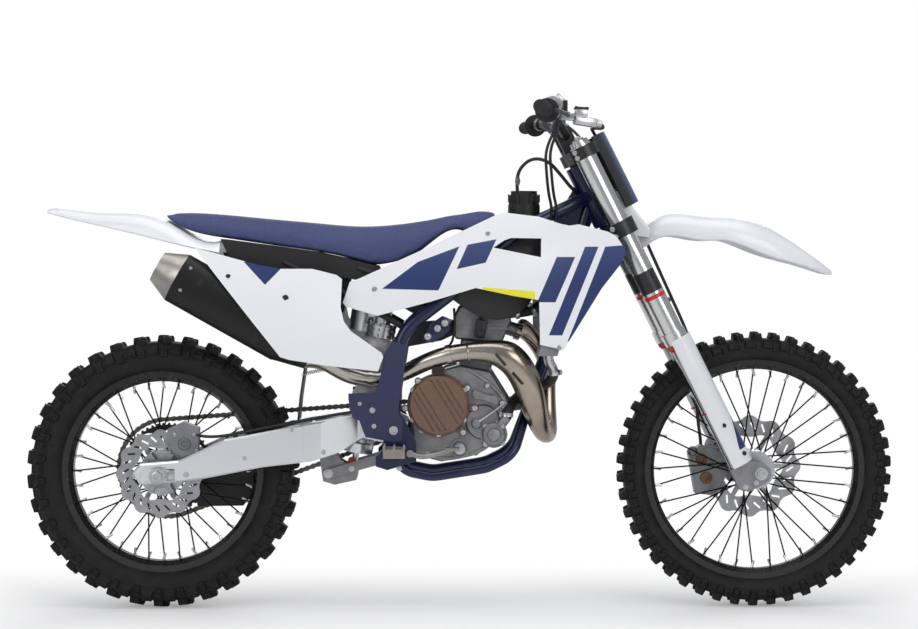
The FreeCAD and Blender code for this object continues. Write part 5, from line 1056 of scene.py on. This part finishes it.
bracket = cut_plate([(652, 676), (676, 668), (718, 700), (722, 726), (700, 735), (672, 716)], -104, -98)
fit(bevelled(bracket, 1.2), "head_bracket", "frame", "navy_paint")
bracket_bolts = []
for x, z in ((706, 717), (664, 684), (688, 704)):
    bracket_bolts += hexagon_bolt(place(x, -104, z), RIGHT, 6.0, 5.0)
    bracket_bolts.append(turned([(0, 0), (7, 0), (7, 44), (0, 44)], place(x, -98, z), LEFT, 14))
fit(bracket_bolts, "head_bracket_bolts", "frame", "axle_steel", BRIGHT)


# Controls: grip ribs, bar ends, cap bolts, cables, throttle drum, brake master, and hoses

BAR_END = Vector((925.0, -402.0, 1228.0))
GRIP_WAY = (Vector((968.3, -176.0, 1225.9)) - BAR_END).normalized()


def across(point, side):
    """A point or way of the right half, on the side asked for: -1 right, 1 left."""
    return Vector((point.x, point.y * -side, point.z))


ribs = []
for side in (-1, 1):
    way = across(GRIP_WAY, side)
    for i in range(9):
        foot = place(*across(BAR_END + GRIP_WAY * (4 + 11.5 * i), side))
        ribs.append(turned([(15.8, 0), (17.0, 0.8), (17.0, 5.2), (15.8, 6)], foot, way, 24))
    foot = place(*across(BAR_END - GRIP_WAY * 6, side))
    ribs.append(turned([(0, 0), (11, 0), (15, -2.5), (15.8, 1), (0, 1)], foot, way, 28))
fit(ribs, "grip_ribs", "steering", "grip_rubber")

above_caps = [on_fork(1100, side, ahead) for side in (-46.0, 46.0) for ahead in (-14.0, 19.0)]
bolts("bar_cap_bolts", "steering",
      [(meet(start, -UP_FORK, ["upper_clamp"]), UP_FORK, 4.5, 4.0) for start in above_caps])

housing = BAR_END + GRIP_WAY * 138.0
for name, shift in (("throttle_cable_pull", 0.0), ("throttle_cable_return", 1.0)):
    beside = 12 * shift
    route(name, ("steering", "frame", place(948, -196, 1140), place(972, -66, 1000)),
          [housing + Vector((16, 8 * shift, 14)), housing + Vector((24 + 8 * shift, 14, -30)),
           (948 + 10 * shift, -196, 1140), (954 + beside, -132, 1090), (962 + beside, -84, 1036),
           (972 + beside, -66, 1000), (968 + beside, -60, 960), (940, -44 - 8 * shift, 915),
           (860, -36 - 8 * shift, 880)], 3.6)

drum = turned([(0, -13), (19, -13), (22, -10), (22, 10), (19, 13), (0, 13)],
              place(*(housing + Vector((12, 6, 16)))), GRIP_WAY, 32)
tower = box(place(*(housing + Vector((26, 6, 30)))), (20, 22, 16), (0.7, 0.1, 0.7), 3.0)
fit([drum, tower], "throttle_drum", "steering", "axle_steel", SILVER)

cylinder_way, cup_way = (1, 0.2, -0.15), (0.06, 0, 1)
master = [box(place(1040, -250, 1203), (24, 22, 56), cylinder_way, 4.0),
          turned([(0, 0), (9, 0), (9, 14), (7, 16), (0, 16)], place(1064, -246, 1200), cylinder_way, 20),
          box(place(1030, -250, 1222), (38, 30, 20), cup_way, 3.0),
          box(place(990, -238, 1216), (16, 18, 62), (1, -0.3, -0.1), 4.0),
          turned([(12.4, -10), (18, -10), (19, -8), (19, 8), (18, 10), (12.4, 10)],
                 place(*(BAR_END + GRIP_WAY * 172)), GRIP_WAY, 28)]
fit(master, "brake_master", "steering", "axle_steel", SILVER)
lid = [box(place(1031, -250, 1234), (42, 34, 5), cup_way)]
for x, y in ((1018, -262), (1044, -238)):
    lid += hexagon_bolt(place(x, y, 1236.5), cup_way, 3.0, 2.0)
fit(lid, "brake_master_lid", "steering", "black_steel")

left = across(BAR_END + GRIP_WAY * 190.0, 1)
route("clutch_line", ("steering", "frame", place(1045, 70, 1080), place(985, 42, 950)),
      [left + Vector((30, 0, 6)), left + Vector((60, -20, 4)), (1074, 150, 1170), (1064, 96, 1110),
       (1030, 60, 1040), (1004, 46, 980), (960, 40, 920), (880, 40, 880), (780, 44, 800)], 3.8)

down_leg = [fork_spot(*spot) for spot in (
    (950, -50, 70), (942, 20, 78), (880, 56, 82), (800, 74, 84), (700, 98, 86), (600, 106, 82),
    (480, 108, 78), (360, 110, 74), (300, 108, 58), (230, 96, 30), (170, 76, -2), (110, 66, -22),
    (74, 62, -40))]
route("front_brake_hose", "steering",
      [(1066, -246, 1199), (1084, -226, 1196), (1092, -150, 1192)] + down_leg, 4.2)
clips = [box(on_fork(up, 107, ahead), (26, 12, 12), UP_FORK, 2.0) for up, ahead in ((470, 66), (372, 63))]
fit(clips, "brake_hose_clips", "steering", "black_plastic")

route("tank_vent_hose", ("frame", "steering", place(925, -4, 1100), place(1000, -24, 1080)),
      [(890, 0, 1036), (886, -2, 1062), (892, -6, 1100), (924, -14, 1128), (966, -22, 1120),
       (1000, -24, 1080), (1026, -20, 1048), (1040, -12, 1040)], 4.4)
valve = turned([(0, -9), (5.6, -9), (5.6, -4), (6.6, -3), (6.6, 3), (5.6, 4), (5.6, 9), (0, 9)],
               place(889, -3, 1070), UP, 18)
fit(valve, "vent_valve", "frame", "axle_steel", DULL)


# White bracket that joins the plate to the fender, and the cable hook on the frame

for name, way in SIDES:
    low, high = sorted((way.y * 58, way.y * 62))
    arm = cut_plate([(1118, 1052), (1150, 1034), (1216, 950), (1214, 928), (1168, 934), (1122, 1000)],
                    low, high)
    fit(bevelled(arm, 1.0), f"plate_bracket_{name}", "steering", "white_plastic")
hook = [box(place(1008, -34, 1004), (12, 8, 40), (0.8, 0, 0.5), 2.0),
        turned([(5, -5), (9, -5), (9, 5), (5, 5)], place(1030, -30, 1024), LEFT, 18)]
fit(hook, "cable_hook", "frame", "black_plastic")


# Tank cap ribs, panel screws and silencer rivets

CAP_RIBS = 24
cap_ribs = []
for i in range(CAP_RIBS):
    angle = i * 2 * math.pi / CAP_RIBS
    out = Vector((math.cos(angle), math.sin(angle), 0.0))
    start = place(905.1, 0, 1027) + out * 0.2
    cap_ribs.append(box(meet(start, -out, ["filler_cap"]), (4.0, 4.0, 20.0), edge=1.0))
fit(cap_ribs, "filler_cap_ribs", "frame", "black_plastic")
for name, way in SIDES:
    side_bolts(f"panel_screws_{name}", "frame", ["side_panels"], [(318, 780, 5.5, 2.5), (178, 832, 4.5, 2.0)],
               way, FINISHES["black_plastic"], "black_plastic")
    side_bolts(f"shroud_screws_{name}", "frame", [f"shroud_{name}"],
               [(534, 800, 5.0, 2.5), (812, 936, 4.5, 2.5), (984, 660, 4.5, 2.5)], way, slot="black_plastic")
side_bolts("silencer_rivets", "frame", ["silencer"], sized([(86, 852), (62, 800)], 3.4, 1.4),
           slot="silencer_dark")


# Exhaust: black strips of painted shade along the chamber's slots, beads on the pipe and springs over the
# joints

COIL_RADIUS = 4.6
WIRE_RADIUS = 1.1


def spring(start, end, turns):
    """A close-wound tension spring with a hook at each end."""
    line, steps = end - start, turns * 6
    way = line.normalized()
    side = way.orthogonal().normalized()
    up = way.cross(side)
    points = [start]
    for i in range(steps + 1):
        angle = i * math.pi / 3
        share = 0.18 + 0.64 * i / steps
        out = side * math.cos(angle) + up * math.sin(angle)
        points.append(start + line * share + out * COIL_RADIUS * MM)
    return hose("spring", points + [end], WIRE_RADIUS, 1)


# Black strips along the chamber's two slots stand for the shade in them: painted shade
slot_shades = []
for x, z, wide, tall in ((831, 643, 25, -27), (873, 598, 25, -29)):
    run = [skin(x + wide * i / 4, z + tall * i / 4, ["exhaust_header"]) - RIGHT * 3.6 * MM for i in range(5)]
    slot_shades.append(hose("slot", run, 5.5, 2))
fit(slot_shades, "chamber_slot_shades", "frame", "black_steel")
beads = []
for at, radius, way in ((place(764, -101, 644), 25.0, (1, -0.08, 0.1)),
                        (place(716, -97, 639), 22.4, (1, 0, 0.1))):
    section = [(radius - 3, -3), (radius, -3), (radius + 1.6, 0), (radius, 3), (radius - 3, 3)]
    beads.append(turned(section, at, way, 36))
fit(beads, "pipe_beads", "frame", "pipe_steel")
coils = [spring(place(738, -66, 652), place(790, -74, 642), 8),
         spring(place(420, -84, 604), place(352, -92, 590), 9)]
fit(coils, "exhaust_springs", "frame", "axle_steel", BRIGHT, angle=60.0)


# Calipers: piston caps, pins, the hose's banjo and the rear brake hose

def piston_caps(name, body, node, spots, way, finish):
    """Round caps on a caliper's side, with a socket in each: a spot is X, Z and radius in mm."""
    caps = []
    for x, z, radius in spots:
        section = [(0, 0), (radius, 0), (radius, 2.5), (radius - 1.5, 4), (radius * 0.45, 4),
                   (radius * 0.4, 1.5), (0, 1.5)]
        caps.append(turned(section, skin(x, z, [node], way) - way * 0.5 * MM, way, 28))
    fit(caps, name, body, "axle_steel", finish)


piston_caps("front_piston_caps", "steering", "front_caliper", [(1360, 364, 15.0), (1372, 318, 15.0)],
            RIGHT, BRONZE)
banjo = [turned([(0, -8), (12, -8), (13, -6), (13, 6), (12, 8), (0, 8)], place(1338, 52, 384), RIGHT, 24)]
banjo += hexagon_bolt(place(1338, 43, 384), RIGHT, 6.0, 5.0)
banjo.append(box(place(1390, 60, 392), (24, 30, 16), (0.3, 0, 1), 3.0))
fit(banjo, "front_caliper_bosses", "steering", "engine_cast")
piston_caps("front_caliper_pins", "steering", "front_caliper", [(1398, 372, 6.0), (1404, 300, 6.0)],
            LEFT, BRIGHT)
piston_caps("rear_piston_cap", "frame", "rear_caliper", [(62, 418, 16.0)], RIGHT, DULL)
piston_caps("rear_caliper_pins", "frame", "rear_caliper", [(38, 440, 5.0), (86, 440, 5.0), (92, 400, 5.0)],
            RIGHT, BRIGHT)
route("rear_brake_hose", "frame",
      [(60, -62, 430), (78, -76, 444), (110, -96, 436), (163, -104, 438), (260, -104, 459), (376, -102, 480),
       (440, -98, 492), (500, -96, 500), (560, -100, 470), (590, -104, 430), (600, -104, 400)], 3.8)
clips = [box(place(x, -104, z), (10, 12, 12), (1, 0, 0.2)) for x, z in ((190, 442), (330, 471))]
fit(clips, "rear_hose_clips", "frame", "black_plastic")


# Coolant hose clamps

straps = []
for side in (-1, 1):
    low, high = Vector((882.0, side * 24.0, 738.0)), Vector((935.0, side * 26.0, 747.0))
    for share, way in ((0.10, (0.985, 0.0, 0.17)), (0.86, (0.9, 0.0, 0.5))):
        straps += band(place(*(low + (high - low) * share)), way, 13.0)
fit(straps, "coolant_hose_clamps", "frame", "axle_steel", BRIGHT)


# Relief on the engine's right side: volute, oval cover, cast rim with its screws, and the pump line

# The two places off the case are where its rounded edge leaves nothing to rest on
RIM_LINE = ((762, 602), (812, 573), (850, 532), (864, 500), (848, 462), (824, 420), (790, 396), (744, 384),
            (700, 378), (664, 388))
RIM_OFF_CASE = ((762, 602), (864, 500))
RIM_SCREWS = ((811, 561), (848, 518), (838, 470), (806, 416), (746, 392), (680, 388))
relief = [turned([(0, -1), (44, -1), (44, 3), (40, 7), (0, 8)], skin(801, 471, ["crankcase"]), RIGHT, 40),
          turned([(0, 0), (13, 0), (13, 17), (10, 20), (0, 20)], skin(784, 468, ["crankcase"]), RIGHT, 24)]
oval = []
for i in range(16):
    angle = i * 2 * math.pi / 16
    shift = 1.0 if math.cos(angle - 0.55) > 0 else -1.0
    oval.append((806 + shift * 17 + 15 * math.cos(angle), 533 - shift * 9 + 15 * math.sin(angle)))
relief.append(bevelled(cut_plate(oval, -95, -78), 2.5))
rim = [place(x, -79, z) if (x, z) in RIM_OFF_CASE else skin(x, z, ["crankcase"]) for x, z in RIM_LINE]
relief.append(hose("cast_rim", rim, 5.0, 2))
for x, z in RIM_SCREWS:
    relief.append(turned([(0, -2), (8, -2), (8, 5), (6.5, 7), (0, 7)], place(x, -80, z), RIGHT, 18))
fit(relief, "engine_relief", "frame", "engine_cast")
bolts("engine_rim_bolts", "frame", [(place(x, -87, z), RIGHT, 4.2, 4.0) for x, z in RIM_SCREWS])
route("pump_line", "frame", [(784, -96, 468), (800, -98, 480), (832, -96, 502), (856, -86, 520)], 3.4,
      "axle_steel", BRIGHT)


# Ribs of the barrel

barrel_ribs = [box(place(790, -48, 620 + i * 9), (66, 5, 3.0), edge=0.8) for i in range(5)]
fit(barrel_ribs, "barrel_ribs", "frame", "engine_cast")


# Lower coolant pipe and hose, with their clamps

route("radiator_pipe", "frame", [(962, -88, 640), (962, -86, 622), (974, -78, 606), (978, -66, 592)], 12.0,
      "axle_steel", BRIGHT)
route("lower_coolant_hose", "frame",
      [(978, -68, 600), (976, -62, 574), (950, -50, 560), (908, -46, 548), (876, -60, 522), (862, -88, 498),
       (858, -93, 482)], 13.0)
straps = band(place(978, -67, 592), (0.1, 0.2, -1.0), 13.6)
straps += band(place(860, -92, 489), (0.1, 0.1, 1.0), 13.6)
fit(straps, "lower_hose_clamps", "frame", "axle_steel", BRIGHT)


# Footpeg teeth, linkage bolts, shock adjuster and spring collars

teeth = []
for side in (-1, 1):
    for x in (558, 582, 606):
        for out in (140, 156, 172, 188, 202):
            seat = meet(place(x, side * out, 500), -UP, ["footpegs"])
            tooth = begin("cone", seat + UP * 2.5 * MM, (0, 0, math.pi / 4), vertices=4,
                          radius1=5.0 * MM, radius2=1.2 * MM, depth=8 * MM)
            teeth.append(settle(tooth))
fit(teeth, "footpeg_teeth", "frame", "axle_steel", PEG_STEEL)
side_bolts("linkage_bolts", "frame", ["shock_linkage", "swingarm"],
           [(540, 377, 5.0, 4.0), (414, 338, 8.0, 6.0), (473, 350, 5.0, 4.0)], slot="axle_steel")
foot, top = shares(0.3185, 0.225), shares(0.3785, 0.5387)
shock_way = (top - foot).normalized()
dial = foot + shock_way * 34.0
knob = turned([(0, 0), (11, 0), (11, 9), (8, 11), (0, 11)], place(dial.x - 6, -14, dial.z), RIGHT, 20)
fit(knob, "rebound_adjuster", "frame", "fork_chrome", RED_PART)
collars = []
for share in (0.18, 0.745, 0.775, 0.80):
    at = foot + shock_way * (top - foot).length * share
    collars.append(ribbed_ring(place(*at), shock_way, 41.0, 6.0, 20, 2.5))
fit(collars, "spring_collars", "frame", "axle_steel", BRIGHT)


# Padded pieces

CLOTH_STEPS = 20
SHRINK = 2.0 * MM
SWELL = 3.0 * MM


def stuffed(node, name, slot, voxel):
    """A copy of a soft solid, remeshed, swollen as cloth over foam and smoothed."""
    source = frame["nodes"][node]
    piece = bpy.data.objects.new(name, source.data.copy())
    bpy.context.scene.collection.objects.link(piece)
    shaped(piece, "WELD", merge_threshold=0.0001)
    shaped(piece, "REMESH", mode="VOXEL", voxel_size=voxel * MM)
    pick(piece, lambda item: True, "VERT")
    bpy.ops.transform.shrink_fatten(value=-SHRINK)
    leave_edit()
    shaped(piece, "SMOOTH", factor=0.5, iterations=4)
    rest = [vertex.co.copy() for vertex in piece.data.vertices]
    cloth = piece.modifiers.new("cloth", "CLOTH")
    cloth.settings.use_pressure = True
    cloth.settings.uniform_pressure_force = 4.0
    cloth.settings.effector_weights.gravity = 0.0
    cloth.point_cache.frame_end = CLOTH_STEPS
    for step in range(1, CLOTH_STEPS + 1):
        bpy.context.scene.frame_set(step)
    swollen = piece.evaluated_get(bpy.context.evaluated_depsgraph_get())
    moved = [vertex.co.copy() for vertex in swollen.data.vertices]
    piece.modifiers.remove(cloth)
    bpy.context.scene.frame_set(1)
    for vertex, start, end in zip(piece.data.vertices, rest, moved):
        push = end - start
        if push.length > SWELL:
            push = push.normalized() * SWELL
        vertex.co = start + push
    shaped(piece, "SMOOTH", factor=0.5, iterations=2)
    shaped(piece, "SUBSURF", levels=1, render_levels=1)
    fit(piece, name, source["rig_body"], slot, replaces=[node], angle=70.0)


stuffed("seat", "seat_pad", "seat_cover", voxel=6.0)
stuffed("bar_pad", "handlebar_pad", "pad_foam", voxel=4.0)
